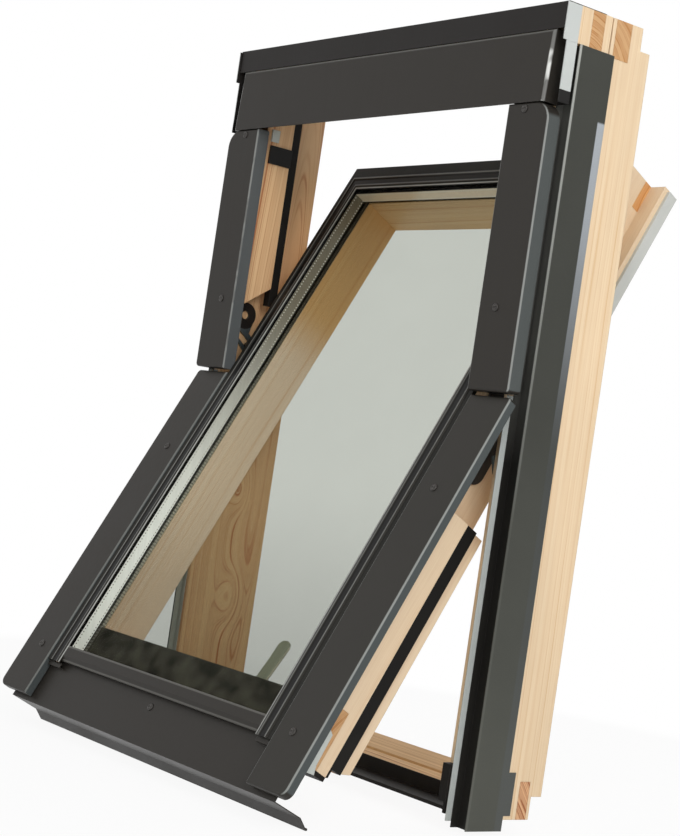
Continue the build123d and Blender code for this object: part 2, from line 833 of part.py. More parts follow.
def frame_ring(outer, inner, plane, depth):
    # Flat ring between two rectangles, each given as half width, bottom, top
    with BuildPart() as ring:
        with BuildSketch(plane):
            with BuildLine():
                Polyline(*rect(-outer[0], outer[1], outer[0], outer[2]), close=True)
            make_face()
            with BuildLine():
                Polyline(*rect(-inner[0], inner[1], inner[0], inner[2]), close=True)
            make_face(mode=Mode.SUBTRACT)
        extrude(amount=depth)
    return ring


spacer_outer = (glass_half - spacer_inset, glass_bottom + spacer_inset, glass_top - spacer_inset)
spacer_inner = (spacer_outer[0] - spacer_width, spacer_outer[1] + spacer_width,
                spacer_outer[2] - spacer_width)
save(frame_ring(spacer_outer, spacer_inner, front_view(glass_rear - pane, swing), cavity), "spacer_frame")

bedding_outer = (glass_half - sheet, glass_bottom + sheet, glass_top - sheet)
bedding_inner = (sight_half + sheet, bottom_rail_top + bedding_rise, sight_top + sheet)
save(frame_ring(bedding_outer, bedding_inner, front_view(rebate_face, swing), bedding), "bedding_band")

with BuildPart() as setting_blocks:
    for side in (-1, 1):
        with BuildSketch(level(ledge_height, swing)):
            with Locations((side * block_spread, (glass_rear + apron_face) / 2)):
                Rectangle(block_length, glass_rear - apron_face)
        extrude(amount=glass_play)
save(setting_blocks, "setting_blocks")

# Glazing beads with two raised ridges, mitred at the top corners
crown = glass_front - bead_crown
valley = glass_front - bead_valley
ridge_half = bead_ridge_width / 2
bead_profile = [
    (0, glass_front), (0, glass_front - bead_lip),
    (bead_ridges[0] - ridge_half, crown), (bead_ridges[0] + ridge_half, crown),
    (bead_ridges[0] + ridge_half + bead_shoulder, valley),
    (bead_ridges[1] - ridge_half - bead_shoulder, valley),
    (bead_ridges[1] - ridge_half, crown), (bead_ridges[1] + ridge_half, crown),
    (bead_width, valley), (bead_width, sash_face),
    (glass_slot_half - bead_inner_half, sash_face), (glass_slot_half - bead_inner_half, glass_front)]
bead_outer_half = bead_inner_half + bead_width
bead_outer_top = bead_inner_top + bead_width
mitre = [(bead_inner_half - overrun, bead_inner_top - overrun),
         (bead_outer_half + overrun, bead_outer_top + overrun)]
mitre_above = [*mitre, (bead_inner_half - overrun, bead_outer_top + overrun)]
mitre_beside = [*mitre, (bead_outer_half + overrun, bead_inner_top - overrun)]
bead_depth = sash_face - crown

with BuildPart() as bead:
    with BuildSketch(level(bead_bottom, swing)):
        with BuildLine():
            Polyline(*[(bead_inner_half + across, depth) for across, depth in bead_profile], close=True)
        make_face()
    extrude(amount=bead_outer_top - bead_bottom)
    with BuildSketch(front_view(sash_face + overrun, swing)):
        with BuildLine():
            Polyline(*mitre_above, close=True)
        make_face()
    extrude(amount=bead_depth + 2 * overrun, mode=Mode.SUBTRACT)
save_pair(bead, "bead")

with BuildPart() as top_bead:
    with BuildSketch(side_view(-bead_outer_half, swing)):
        with BuildLine():
            Polyline(*[(depth, bead_inner_top + min(across, bead_width)) for across, depth in bead_profile],
                     close=True)
        make_face()
    extrude(amount=2 * bead_outer_half)
    with BuildSketch(front_view(sash_face + overrun, swing)):
        for side in (-1, 1):
            with BuildLine():
                Polyline(*[(side * across, height) for across, height in mitre_beside], close=True)
            make_face()
    extrude(amount=bead_depth + 2 * overrun, mode=Mode.SUBTRACT)
save(top_bead, "top_bead")

bottom_bead = prism(
    [(glass_front, bottom_bead_top), (glass_front - bottom_bead_lip, bottom_bead_top),
     (glass_front - bottom_bead_lip, ledge_height), (sash_face - bottom_bead_foot, bottom_bead_bottom),
     (apron_face - sheet, bottom_bead_bottom), (apron_face - sheet, ledge_height - glass_play),
     (glass_front, ledge_height - glass_play)],
    side_view(joint_gap - bead_inner_half, swing), 2 * (bead_inner_half - joint_gap))
save(bottom_bead, "bottom_bead")

with BuildPart() as edge_gasket:
    with BuildSketch(front_view(sash_face, swing)):
        with BuildLine():
            Polyline((bead_outer_half, bead_bottom), (sash_edge_half, bead_bottom),
                     (sash_edge_half, gasket_top), (-sash_edge_half, gasket_top),
                     (-sash_edge_half, bead_bottom), (-bead_outer_half, bead_bottom),
                     (-bead_outer_half, bead_outer_top), (bead_outer_half, bead_outer_top), close=True)
        make_face()
    extrude(amount=gasket_height)
save(edge_gasket, "edge_gasket")

# Covers, apron and seals of the sash
lower_cover_top = pivot_height + lower_cover_rise
lower_tray = folded_cover(-lower_cover_overhang, lower_cover_top, -lower_cover_overhang,
                          lower_cover_corner_radius, cover_plane, lower_cover_flange, swing)
with BuildPart() as lower_cover:
    add(lower_tray.part)
    with BuildSketch(front_view(sash_face, swing)):
        with BuildLine():
            Polyline(*rect(cover_inner - overrun, sash_bottom - joint_gap,
                           cover_outer - cover_fold_radius, lower_cover_top + overrun), close=True)
        make_face()
    extrude(amount=-cover_flange, mode=Mode.SUBTRACT)
save_pair(lower_cover, "lower_cover")

knee = apron_face + apron_flange_depth
knee_height = apron_bottom + apron_flange_rise
drip = knee + drip_run
drip_height = knee_height - drip_drop
apron_top = sash_bottom - joint_gap
with BuildPart() as apron:
    with BuildSketch(side_view(-apron_half, swing)):
        with BuildLine():
            Polyline((apron_face - sheet, apron_top), (apron_face, apron_top),
                     (apron_face, apron_bottom + sheet), (knee, knee_height + sheet),
                     (drip, drip_height + sheet), (drip, drip_height), (knee, knee_height),
                     (apron_face - sheet, apron_bottom), close=True)
        make_face()
    extrude(amount=2 * apron_half)
    with BuildSketch(front_view(apron_face, swing)):
        with BuildLine():
            Polyline(*rect(-ledge_half, apron_bottom + sheet, ledge_half, ledge_height - glass_play),
                     close=True)
        make_face()
    extrude(amount=sheet)
    for side in (-1, 1):
        with BuildSketch(side_view(side * bead_inner_half, swing)):
            with BuildLine():
                Polyline((apron_face - sheet, apron_top - sheet), (sash_face - sheet, apron_top - sheet),
                         (sash_face - sheet, bead_bottom - joint_gap), (sash_face, bead_bottom - joint_gap),
                         (sash_face, apron_top), (apron_face - sheet, apron_top), close=True)
            make_face()
        extrude(amount=side * (sash_edge_half - bead_inner_half))
save(apron, "apron")

side_seal = prism([*foot_line[:4], (low_rear_face, sash_wide_top), (wide_rear, sash_wide_top)],
                  side_view(sash_rear_half, swing), sash_wide_half - sash_rear_half - seal_gap)
save_pair(side_seal, "side_seal")

bottom_seal = prism(
    rect(apron_face, sash_bottom - bottom_seal_height, wide_rear, sash_bottom),
    side_view(-sash_wide_half, swing), 2 * sash_wide_half)
save(bottom_seal, "bottom_seal")

with BuildPart() as lip_seal:
    for side in (-1, 1):
        with BuildSketch(side_view(side * sash_rear_half, swing)):
            with BuildLine():
                Polyline(*rect(sash_rear - lip_depth, sash_flange_bottom, sash_rear, sash_top - lip_set),
                         close=True)
            make_face()
        extrude(amount=side * lip_reach)
save(lip_seal, "lip_seal")

plate_outline = [(sash_face + across, height) for across, height in corner_plate_points]
corner_plate = prism(plate_outline, side_view(sash_wide_half, swing), corner_plate_thickness)
with BuildPart() as corner_plates:
    add(corner_plate.part)
    mirror(corner_plate.part, about=Plane.YZ)
save(corner_plates, "corner_plates")

# Pivot shoes
plate_low = sash_face + hinge_plate_set
shoe_sector = ring_sector(slot_inner + shoe_clearance, slot_outer - shoe_clearance,
                          shoe_closed_angle - shoe_half_angle, shoe_closed_angle + shoe_half_angle)
with BuildPart() as hinge_shoe:
    with BuildSketch(side_view(sash_mid_half, swing)):
        with BuildLine():
            Polyline(*rect(plate_low, hinge_plate_bottom, plate_low + hinge_plate_depth, hinge_plate_top),
                     close=True)
        make_face()
        fillet(vertices(), hinge_plate_radius)
        add(shoe_sector)
    extrude(amount=hinge_plate)
    with BuildSketch(side_view(sash_mid_half, swing)):
        add(shoe_sector)
    extrude(amount=jamb_inner - sash_mid_half - seal_gap)
    with BuildSketch(side_view(sash_mid_half, swing)):
        with Locations((plate_low + hinge_plate_depth / 2, pivot_height - stud_drop)):
            Circle(stud_radius)
    extrude(amount=hinge_plate + stud_height)
save_pair(hinge_shoe, "hinge_shoe")

# Latch case, lever and bolt
lever_y = sash_rear + lever_pivot_set
case_rear = sash_rear + case_depth
lug_inner = lever_width / 2 + lug_gap
with BuildPart() as handle_base:
    with BuildSketch(front_view(sash_rear, swing)):
        with BuildLine():
            Polyline(*rect(-case_width / 2, case_bottom, case_width / 2, case_top), close=True)
        make_face()
        fillet(vertices(), case_radius)
    extrude(amount=-case_depth)
    with BuildSketch(level(0, swing)):
        with BuildLine():
            Polyline(*rect(-bolt_width / 2 - bolt_play, bolt_front - bolt_play,
                           bolt_width / 2 + bolt_play, bolt_rear + bolt_play), close=True)
        make_face()
    extrude(amount=bolt_top + bolt_lift + bolt_play, mode=Mode.SUBTRACT)
    for side in (-1, 1):
        with BuildSketch(side_view(side * (lug_inner + lug_width / 2), swing)):
            with BuildLine():
                Polyline(*rect(case_rear, lever_pivot_height - lever_knuckle_radius, lever_y,
                               lever_pivot_height + lever_knuckle_radius), close=True)
            make_face()
            with Locations((lever_y, lever_pivot_height)):
                Circle(lever_knuckle_radius)
                Circle(lever_pin_radius + lever_pin_play, mode=Mode.SUBTRACT)
        extrude(amount=lug_width / 2, both=True)
save(handle_base, "handle_base")

lever_line = [(lever_y - lever_thickness / 2, lever_pivot_height),
              (lever_y + lever_reach * lever_waist_share, lever_pivot_height + lever_height / 2),
              (lever_y + lever_reach, lever_pivot_height + lever_height)]
with BuildPart() as handle_lever:
    with BuildSketch(side_view(0, swing)):
        with BuildLine():
            front_line = Spline(*lever_line)
            rear_line = Spline(*[(depth + lever_thickness, height) for depth, height in lever_line])
            Line(front_line @ 1, rear_line @ 1)
            Line(front_line @ 0, rear_line @ 0)
        make_face()
        with Locations((lever_y, lever_pivot_height)):
            Circle(lever_knuckle_radius - lug_gap)
    extrude(amount=lever_width / 2, both=True)
    tip_face = faces().filter_by(level(0, swing)).sort_by(Axis.Z)[-1]
    tip_ends = tip_face.edges().filter_by(Axis.X, reverse=True)
    fillet(tip_ends, lever_tip_radius)
    with BuildSketch(side_view(0, swing)):
        with Locations((lever_y, lever_pivot_height)):
            Circle(lever_pin_radius)
    extrude(amount=lug_inner + lug_width, both=True)
save(handle_lever, "handle_lever")

latch_bolt = prism(rect(-bolt_width / 2, bolt_front, bolt_width / 2, bolt_rear),
                   level(bolt_bottom, swing), bolt_top - bolt_bottom)
save(latch_bolt, "latch_bolt")

sash_spots = [(side * screw_across, cover_plane, height)
              for side in (-1, 1) for height in lower_screw_heights]
sash_spots.append((0, apron_face - sheet, apron_screw_height))
save(screw_heads(sash_spots, swing), "sash_screws")
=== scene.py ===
import math

import bmesh
import bpy
import numpy as np
from mathutils import Matrix, Vector


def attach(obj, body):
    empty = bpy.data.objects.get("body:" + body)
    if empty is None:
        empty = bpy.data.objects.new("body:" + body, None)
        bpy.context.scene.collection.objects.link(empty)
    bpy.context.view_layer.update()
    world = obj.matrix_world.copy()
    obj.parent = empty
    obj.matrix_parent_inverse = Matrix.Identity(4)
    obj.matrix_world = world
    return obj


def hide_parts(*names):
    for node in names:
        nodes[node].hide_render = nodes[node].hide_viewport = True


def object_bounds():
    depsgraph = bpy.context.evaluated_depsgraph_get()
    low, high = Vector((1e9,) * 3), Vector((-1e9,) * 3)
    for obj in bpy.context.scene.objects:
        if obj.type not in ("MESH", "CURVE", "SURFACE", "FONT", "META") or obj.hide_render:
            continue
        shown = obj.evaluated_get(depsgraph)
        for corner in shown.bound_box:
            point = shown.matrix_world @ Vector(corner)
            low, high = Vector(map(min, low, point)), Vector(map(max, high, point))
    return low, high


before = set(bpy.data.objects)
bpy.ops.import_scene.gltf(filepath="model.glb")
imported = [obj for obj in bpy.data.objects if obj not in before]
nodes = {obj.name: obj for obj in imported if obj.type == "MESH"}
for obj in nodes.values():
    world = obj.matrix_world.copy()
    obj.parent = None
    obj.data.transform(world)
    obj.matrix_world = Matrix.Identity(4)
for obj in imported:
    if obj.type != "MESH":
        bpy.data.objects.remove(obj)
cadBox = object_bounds()
print("stage: frame loaded,", len(nodes), "nodes")

# The sash is drawn shut in the source and stands open by this angle about the pivot line
sashPose = dict(openAngle=27.66, pivotY=-0.064, pivotZ=0.397)
tilt = math.radians(sashPose["openAngle"])


def turnSash(points, angle):  # turn by the angle about the level pivot line
    p = np.asarray(points, float)
    dy = p[..., 1] - sashPose["pivotY"]
    dz = p[..., 2] - sashPose["pivotZ"]
    y = sashPose["pivotY"] + dy * math.cos(angle) + dz * math.sin(angle)
    z = sashPose["pivotZ"] - dy * math.sin(angle) + dz * math.cos(angle)
    return np.stack([p[..., 0], y, z], axis=-1)


def sashPoint(points):  # shut coordinates to the open rest pose
    return turnSash(points, tilt)


def shutPoint(points):  # open rest pose back to shut coordinates
    return turnSash(points, -tilt)


# Node helpers: where most values of a noise lie, and a line's full and empty width in shares of its half width
noiseSpan = (0.3, 0.7)
lineSoft = (0.6, 1.4)


def addNode(tree, kind, **values):
    node = tree.nodes.new(kind)
    for key, value in values.items():
        setattr(node, key, value)
    return node


def link(tree, source, target):  # the source is a number, a tuple of three or another node's output
    if isinstance(source, (int, float)):
        target.default_value = source
    elif isinstance(source, tuple):
        target.default_value = (*source, 1.0)[:len(target.default_value)]
    else:
        tree.links.new(source, target)


def mathNode(tree, operation, *values, clamp=False):
    node = addNode(tree, "ShaderNodeMath", operation=operation, use_clamp=clamp)
    for value, socket in zip(values, node.inputs):
        link(tree, value, socket)
    return node.outputs[0]


def addUp(tree, first, *others, clamp=False):
    for value in others:
        first = mathNode(tree, "ADD", first, value, clamp=clamp)
    return first


def multiply(tree, first, *others):
    for value in others:
        first = mathNode(tree, "MULTIPLY", first, value)
    return first


def subtract(tree, first, second):
    return mathNode(tree, "SUBTRACT", first, second)


def sumSquares(tree, first, second):
    return addUp(tree, multiply(tree, first, first), multiply(tree, second, second))


def distance(tree, first, second):
    return mathNode(tree, "SQRT", sumSquares(tree, first, second))


def mixColor(tree, factor, first, second, blend="MIX"):
    node = addNode(tree, "ShaderNodeMix", data_type="RGBA", blend_type=blend)
    for value, index in ((factor, 0), (first, 6), (second, 7)):
        link(tree, value, node.inputs[index])
    return node.outputs[2]


def scaleColor(tree, color, factor):
    node = addNode(tree, "ShaderNodeVectorMath", operation="SCALE")
    link(tree, color, node.inputs[0])
    link(tree, factor, node.inputs["Scale"])
    return node.outputs[0]


def mapRange(tree, value, low, high, newLow=0.0, newHigh=1.0, smooth=False):
    node = addNode(tree, "ShaderNodeMapRange", interpolation_type="SMOOTHSTEP" if smooth else "LINEAR")
    for number, socket in zip((value, low, high, newLow, newHigh), node.inputs):
        link(tree, number, socket)
    return node.outputs[0]


def stepMask(tree, value, place, soft):  # 0 before the place and 1 beyond it; the other way round if soft is negative
    return mapRange(tree, value, place - soft, place + soft)


def lineMask(tree, value, place, half, strength):  # the strength along a line at the place, 0 beside it
    away = mathNode(tree, "ABSOLUTE", subtract(tree, value, place))
    return mapRange(tree, away, half * lineSoft[1], half * lineSoft[0], 0.0, strength)


def noiseNode(tree, vector, scale, detail=2.0, roughness=0.5):
    node = addNode(tree, "ShaderNodeTexNoise")
    for key, value in (("Vector", vector), ("Scale", scale), ("Detail", detail), ("Roughness", roughness)):
        link(tree, value, node.inputs[key])
    return node.outputs["Fac"]


def stretchedNoise(tree, vector, factors, detail=2.0, roughness=0.5):  # its own scale along x, y and z
    node = addNode(tree, "ShaderNodeVectorMath", operation="MULTIPLY")
    link(tree, vector, node.inputs[0])
    link(tree, factors, node.inputs[1])
    return noiseNode(tree, node.outputs[0], 1.0, detail, roughness)


def pieceCoords(tree):
    return addNode(tree, "ShaderNodeTexCoord").outputs


def splitXYZ(tree, vector):
    node = addNode(tree, "ShaderNodeSeparateXYZ")
    link(tree, vector, node.inputs[0])
    return node.outputs


def turnBack(tree, vector, kind, leaning):  # a point or normal of a leaning piece, turned upright about the origin
    node = addNode(tree, "ShaderNodeMapping", vector_type=kind)
    link(tree, vector, node.inputs["Vector"])
    link(tree, (tilt if leaning else 0.0, 0.0, 0.0), node.inputs["Rotation"])
    return node.outputs[0]


def sashCoords(tree):  # x, y and z of the shut sash
    vector = turnBack(tree, pieceCoords(tree)["Object"], "POINT", True)
    y, z = sashPose["pivotY"], sashPose["pivotZ"]
    offset = (0.0, y - y * math.cos(tilt) + z * math.sin(tilt), z - y * math.sin(tilt) - z * math.cos(tilt))
    link(tree, offset, vector.node.inputs["Location"])
    return splitXYZ(tree, vector)


def newGroup(name, inputs, outputs):  # inputs with their values; every output is a float but Normal
    group = bpy.data.node_groups.new(name, "ShaderNodeTree")
    for label, value in inputs.items():
        kind = "NodeSocketVector" if value is None else "NodeSocketFloat"
        socket = group.interface.new_socket(label, in_out="INPUT", socket_type=kind)
        if value is not None:
            socket.default_value = value
    for label in outputs:
        kind = "NodeSocketVector" if label == "Normal" else "NodeSocketFloat"
        group.interface.new_socket(label, in_out="OUTPUT", socket_type=kind)
    return group, addNode(group, "NodeGroupInput").outputs, addNode(group, "NodeGroupOutput").inputs


def useGroup(tree, group, **values):
    node = addNode(tree, "ShaderNodeGroup", node_tree=group)
    for key, value in values.items():
        link(tree, value, node.inputs[key])
    return node.outputs


def newMaterial(name, **constants):
    material = bpy.data.materials.new(name)
    material.use_nodes = True
    tree = material.node_tree
    shader = tree.nodes["Principled BSDF"]
    for key, value in constants.items():
        link(tree, value, shader.inputs[key])
    return material, tree, shader


def addBump(tree, shader, height, normal, strength, depth):
    bump = addNode(tree, "ShaderNodeBump")
    for key, value in (("Strength", strength), ("Distance", depth), ("Height", height), ("Normal", normal)):
        link(tree, value, bump.inputs[key])
    link(tree, bump.outputs[0], shader.inputs["Normal"])


def setRoughness(tree, shader, noise, middle, spread):
    link(tree, mapRange(tree, noise, *noiseSpan, middle - spread, middle + spread), shader.inputs["Roughness"])


def mixShaders(tree, factor, first, second, target):
    both = addNode(tree, "ShaderNodeMixShader")
    for source, socket in zip((factor, first, second), both.inputs):
        link(tree, source, socket)
    link(tree, both.outputs[0], target)


def seenRays(tree):  # 1 for what the camera sees straight, mirrored or through glass
    light = addNode(tree, "ShaderNodeLightPath").outputs
    return addUp(tree, light["Is Camera Ray"], light["Is Glossy Ray"], light["Is Transmission Ray"], clamp=True)


def srgb(red, green, blue):  # screen values 0 to 255 to linear
    out = []
    for part in (red, green, blue):
        c = part / 255
        out.append(c / 12.92 if c <= 0.04045 else ((c + 0.055) / 1.055) ** 2.4)
    return tuple(out)


# Shared effects. Pine grain: scales are along x, y and z; a knot is depth, height, width and length
grainLook = dict(drift=0.008, driftScale=(7, 7, 1.1), waver=0.0010, waverScale=(40, 40, 5), yearDetail=3.0,
                 yearRoughness=0.55, bandSpan=(0.40, 0.72), bandShare=0.22, lineAt=0.5, lineHalf=0.045, lineShare=0.8,
                 patchScale=(60, 60, 4), patchSpan=(0.35, 0.65), patchLeast=0.2, fibreScale=(1500, 1500, 22),
                 fibreDetail=3.0, fibreRoughness=0.6, broadScale=(14, 14, 2.5),
                 knots=((0.012, 0.140, 0.016, 0.030), (0.006, 0.268, 0.014, 0.026)))


def pineGrainGroup():  # uneven growth rings about a leaning pith, drifting along the board and bent round the knots
    look = grainLook
    group, entry, leave = newGroup(
        "pineGrain", {"Vector": None, "Pith X": 0.1, "Pith Y": 0.06, "Lean": 0.03, "Ring": 0.006, "Swirl": 0.0},
        ("Late", "Fibre", "Broad"))
    vector = entry["Vector"]
    x, y, z = splitXYZ(group, vector)
    knots = 0.0
    for depth, height, wide, tall in look["knots"]:
        across = mathNode(group, "DIVIDE", subtract(group, y, depth), wide)
        along = mathNode(group, "DIVIDE", subtract(group, z, height), tall)
        away = sumSquares(group, across, along)
        knots = addUp(group, mathNode(group, "EXPONENT", multiply(group, away, -1.0)), knots)
    radius = distance(group, addUp(group, x, entry["Pith X"], multiply(group, z, entry["Lean"])),
                      addUp(group, y, entry["Pith Y"]))
    for key in ("drift", "waver"):
        noise = stretchedNoise(group, vector, look[key + "Scale"])
        radius = addUp(group, radius, mapRange(group, noise, 0.0, 1.0, -look[key], look[key]))
    radius = addUp(group, radius, multiply(group, knots, entry["Swirl"]))
    years = addNode(group, "ShaderNodeTexNoise", noise_dimensions="1D")
    for key, value in (("W", mathNode(group, "DIVIDE", radius, entry["Ring"])), ("Scale", 1.0),
                       ("Detail", look["yearDetail"]), ("Roughness", look["yearRoughness"])):
        link(group, value, years.inputs[key])
    year = years.outputs["Fac"]
    bands = mapRange(group, year, *look["bandSpan"], smooth=True)
    middle = mathNode(group, "ABSOLUTE", subtract(group, year, look["lineAt"]))
    lines = mapRange(group, middle, look["lineHalf"], 0.0, smooth=True)
    patches = stretchedNoise(group, vector, look["patchScale"])
    patchy = mapRange(group, patches, *look["patchSpan"], look["patchLeast"], 1.0)
    link(group, addUp(group, multiply(group, bands, look["bandShare"]),
                      multiply(group, lines, patchy, look["lineShare"]), clamp=True), leave["Late"])
    link(group, stretchedNoise(group, vector, look["fibreScale"], look["fibreDetail"], look["fibreRoughness"]),
         leave["Fibre"])
    link(group, stretchedNoise(group, vector, look["broadScale"]), leave["Broad"])
    return group


edgeLook = dict(radius=0.0008, samples=6, flat=0.98, full=0.78)


def edgeGroup():  # how far the rounded normal leaves the flat one: 0 on faces, 1 along edges
    group, entry, leave = newGroup("edgeMask", {"Radius": edgeLook["radius"]}, ("Edge", "Normal"))
    bevel = addNode(group, "ShaderNodeBevel", samples=edgeLook["samples"])
    link(group, entry["Radius"], bevel.inputs["Radius"])
    dot = addNode(group, "ShaderNodeVectorMath", operation="DOT_PRODUCT")
    link(group, bevel.outputs[0], dot.inputs[0])
    link(group, addNode(group, "ShaderNodeNewGeometry").outputs["True Normal"], dot.inputs[1])
    link(group, mapRange(group, dot.outputs["Value"], edgeLook["flat"], edgeLook["full"]), leave["Edge"])
    link(group, bevel.outputs[0], leave["Normal"])
    return group


speckLook = dict(speckle=1400.0, streak=(420, 420, 9), blotch=9.0, blotchDetail=3.0, blotchRoughness=0.55)


def coatGroup():  # coil coating: fine speckle, faint long streaks and soft blotches of dust
    group, entry, leave = newGroup("coatGrain", {"Vector": None}, ("Speckle", "Streak", "Blotch"))
    vector = entry["Vector"]
    link(group, noiseNode(group, vector, speckLook["speckle"]), leave["Speckle"])
    link(group, stretchedNoise(group, vector, speckLook["streak"]), leave["Streak"])
    blotch = noiseNode(group, vector, speckLook["blotch"], speckLook["blotchDetail"], speckLook["blotchRoughness"])
    link(group, blotch, leave["Blotch"])
    return group


foldLook = dict(side=(0.18, 0.42), top=(0.25, 0.44), flange=(0.90, 0.97))


# masks for the painted highlights on folds and the painted light on flanges
def foldGroup():  # where sheet is folded: the normal lies between the front and a side, or the front and the top
    group, entry, leave = newGroup("foldMask", {"Facing": None}, ("Side", "Top", "Flange"))
    x, y, z = splitXYZ(group, entry["Facing"])
    across = mathNode(group, "ABSOLUTE", x)
    ahead = mathNode(group, "MAXIMUM", multiply(group, y, -1.0), 0.0)
    above = mathNode(group, "MAXIMUM", z, 0.0)
    link(group, mapRange(group, multiply(group, across, ahead), *foldLook["side"]), leave["Side"])
    link(group, mapRange(group, multiply(group, above, ahead), *foldLook["top"]), leave["Top"])
    link(group, mapRange(group, across, *foldLook["flange"]), leave["Flange"])
    return group


pineGrain = pineGrainGroup()
foldMask = foldGroup()
edgeMask = edgeGroup()
coatGrain = coatGroup()
print("stage: shared effects ready")


def coatNoise(tree):
    return useGroup(tree, coatGrain, Vector=pieceCoords(tree)["Object"])


# Pine: one material per board, so that no two boards share their rings
pineLook = dict(early=srgb(236, 211, 176), late=srgb(208, 164, 112), fibreDark=srgb(206, 166, 120), fibreShare=0.30,
                fibreSpan=(0.45, 0.8), broadShade=(0.92, 1.05), endSpan=(0.75, 0.9), endTint=(0.76, 0.58, 0.41),
                endRings=2.2, outerTint=(1.0, 0.96, 0.90), inwardSpan=(0.3, 0.7), roughness=0.45, fibreRough=0.12,
                endRough=0.2, coat=0.08, coatRoughness=0.25, edgeRadius=0.0012, bump=(0.12, 0.0004))


def pineMaterial(name, along, leaning, pithX, pithY, lean=0.02, ring=0.006, tint=(1.0, 1.0, 1.0), late=None,
                 topPaintedShade=None, topBends=(0.45, 0.53), swirl=0.0, endTint=None):
    look = pineLook
    material, tree, shader = newMaterial(
        name, **{"Coat Weight": look["coat"], "Coat Roughness": look["coatRoughness"]})
    coords = pieceCoords(tree)
    places = splitXYZ(tree, turnBack(tree, coords["Object"], "POINT", leaning))
    facing = splitXYZ(tree, turnBack(tree, coords["Normal"], "NORMAL", leaning))
    aligned = addNode(tree, "ShaderNodeCombineXYZ")
    for target, source in enumerate((0, 1, 2) if along == "Z" else (2, 1, 0)):
        link(tree, places[source], aligned.inputs[target])
    endwise = mathNode(tree, "ABSOLUTE", facing[along])
    endMask = mapRange(tree, endwise, *look["endSpan"])
    grain = useGroup(tree, pineGrain, Vector=aligned.outputs[0],
                     **{"Pith X": pithX, "Pith Y": pithY, "Lean": lean, "Ring": ring, "Swirl": swirl})
    edge = useGroup(tree, edgeMask, Radius=look["edgeRadius"])
    stronger = mapRange(tree, endMask, 0.0, 1.0, 1.0, look["endRings"])
    rings = mathNode(tree, "MULTIPLY", grain["Late"], stronger, clamp=True)
    wood = mixColor(tree, rings, look["early"], late or look["late"])
    streaks = mapRange(tree, grain["Fibre"], *look["fibreSpan"], 0.0, look["fibreShare"])
    wood = mixColor(tree, streaks, wood, look["fibreDark"])
    wood = scaleColor(tree, wood, mapRange(tree, grain["Broad"], *noiseSpan, *look["broadShade"]))
    # painted light and shade on the inward face: brightened by the tint, darker towards the top
    if topPaintedShade:
        graded = mixColor(tree, mapRange(tree, sashCoords(tree)["Z"], *topBends, smooth=True), tint, topPaintedShade)
        tint = mixColor(tree, mapRange(tree, facing["X"], *look["inwardSpan"]), look["outerTint"], graded)
    wood = mixColor(tree, 1.0, wood, tint, "MULTIPLY")
    ends = mixColor(tree, 1.0, wood, endTint or look["endTint"], "MULTIPLY")
    link(tree, mixColor(tree, endMask, wood, ends), shader.inputs["Base Color"])
    link(tree, addUp(tree, multiply(tree, grain["Fibre"], look["fibreRough"]),
                     multiply(tree, endMask, look["endRough"]), look["roughness"]), shader.inputs["Roughness"])
    addBump(tree, shader, grain["Fibre"], edge["Normal"], *look["bump"])
    return material


# Coated sheet: painted highlights along its folds and edges, painted light that makes the turned-back flanges greyer,
# and painted highlight lines; a line is height, half width and share
coatLook = dict(face=srgb(46, 43, 39), edge=srgb(112, 111, 106), edgeShare=0.6, edgeUneven=0.6, edgeRadius=0.0008,
                roughness=0.38, gloss=0.15, fold=srgb(160, 164, 160), foldShare=0.0, topShare=0.0, broken=0.0,
                gapScale=55.0, gapSpan=(0.42, 0.52), flange=None, lines=(), blotchShade=(0.95, 1.06),
                speckleShade=0.04, blotchRough=0.05, streakRough=0.03, bump=(0.05, 0.0003))


def coatMaterial(name, leaning=False, **changes):
    look = dict(coatLook, **changes)
    material, tree, shader = newMaterial(name, **{"Specular IOR Level": look["gloss"]})
    coords, grain = pieceCoords(tree), coatNoise(tree)
    edge = useGroup(tree, edgeMask, Radius=look["edgeRadius"])
    fold = useGroup(tree, foldMask, Facing=turnBack(tree, coords["Normal"], "NORMAL", leaning))
    face = look["face"]
    # painted light: the turned-back flanges take their own lighter colour
    if look["flange"]:
        face = mixColor(tree, fold["Flange"], face, look["flange"])
    shade = addUp(tree, mapRange(tree, grain["Blotch"], *noiseSpan, *look["blotchShade"]),
                  mapRange(tree, grain["Speckle"], *noiseSpan, -look["speckleShade"], look["speckleShade"]))
    # the edges: wear together with a painted highlight
    least = look["edgeShare"] * look["edgeUneven"]
    wearAndHighlight = multiply(tree, edge["Edge"], mapRange(tree, grain["Streak"], *noiseSpan, least, look["edgeShare"]))
    color = mixColor(tree, wearAndHighlight, scaleColor(tree, face, shade), look["edge"])
    # painted highlights along the side folds, broken by gaps, and along the top fold
    if look["foldShare"] or look["topShare"]:
        gaps = noiseNode(tree, coords["Object"], look["gapScale"], 1.0)
        whole = mapRange(tree, gaps, *look["gapSpan"], 1.0 - look["broken"], 1.0)
        color = mixColor(tree, multiply(tree, fold["Top"], look["topShare"]), color, look["edge"])
        color = mixColor(tree, multiply(tree, fold["Side"], look["foldShare"], whole), color, look["fold"])
    # painted highlight lines
    for height, half, share in look["lines"]:
        color = mixColor(tree, lineMask(tree, sashCoords(tree)["Z"], height, half, share), color, look["edge"])
    link(tree, color, shader.inputs["Base Color"])
    rough = [mapRange(tree, grain[noise], *noiseSpan, -look[key], look[key])
             for noise, key in (("Blotch", "blotchRough"), ("Streak", "streakRough"))]
    link(tree, addUp(tree, *rough, look["roughness"]), shader.inputs["Roughness"])
    addBump(tree, shader, grain["Speckle"], edge["Normal"], *look["bump"])
    return material


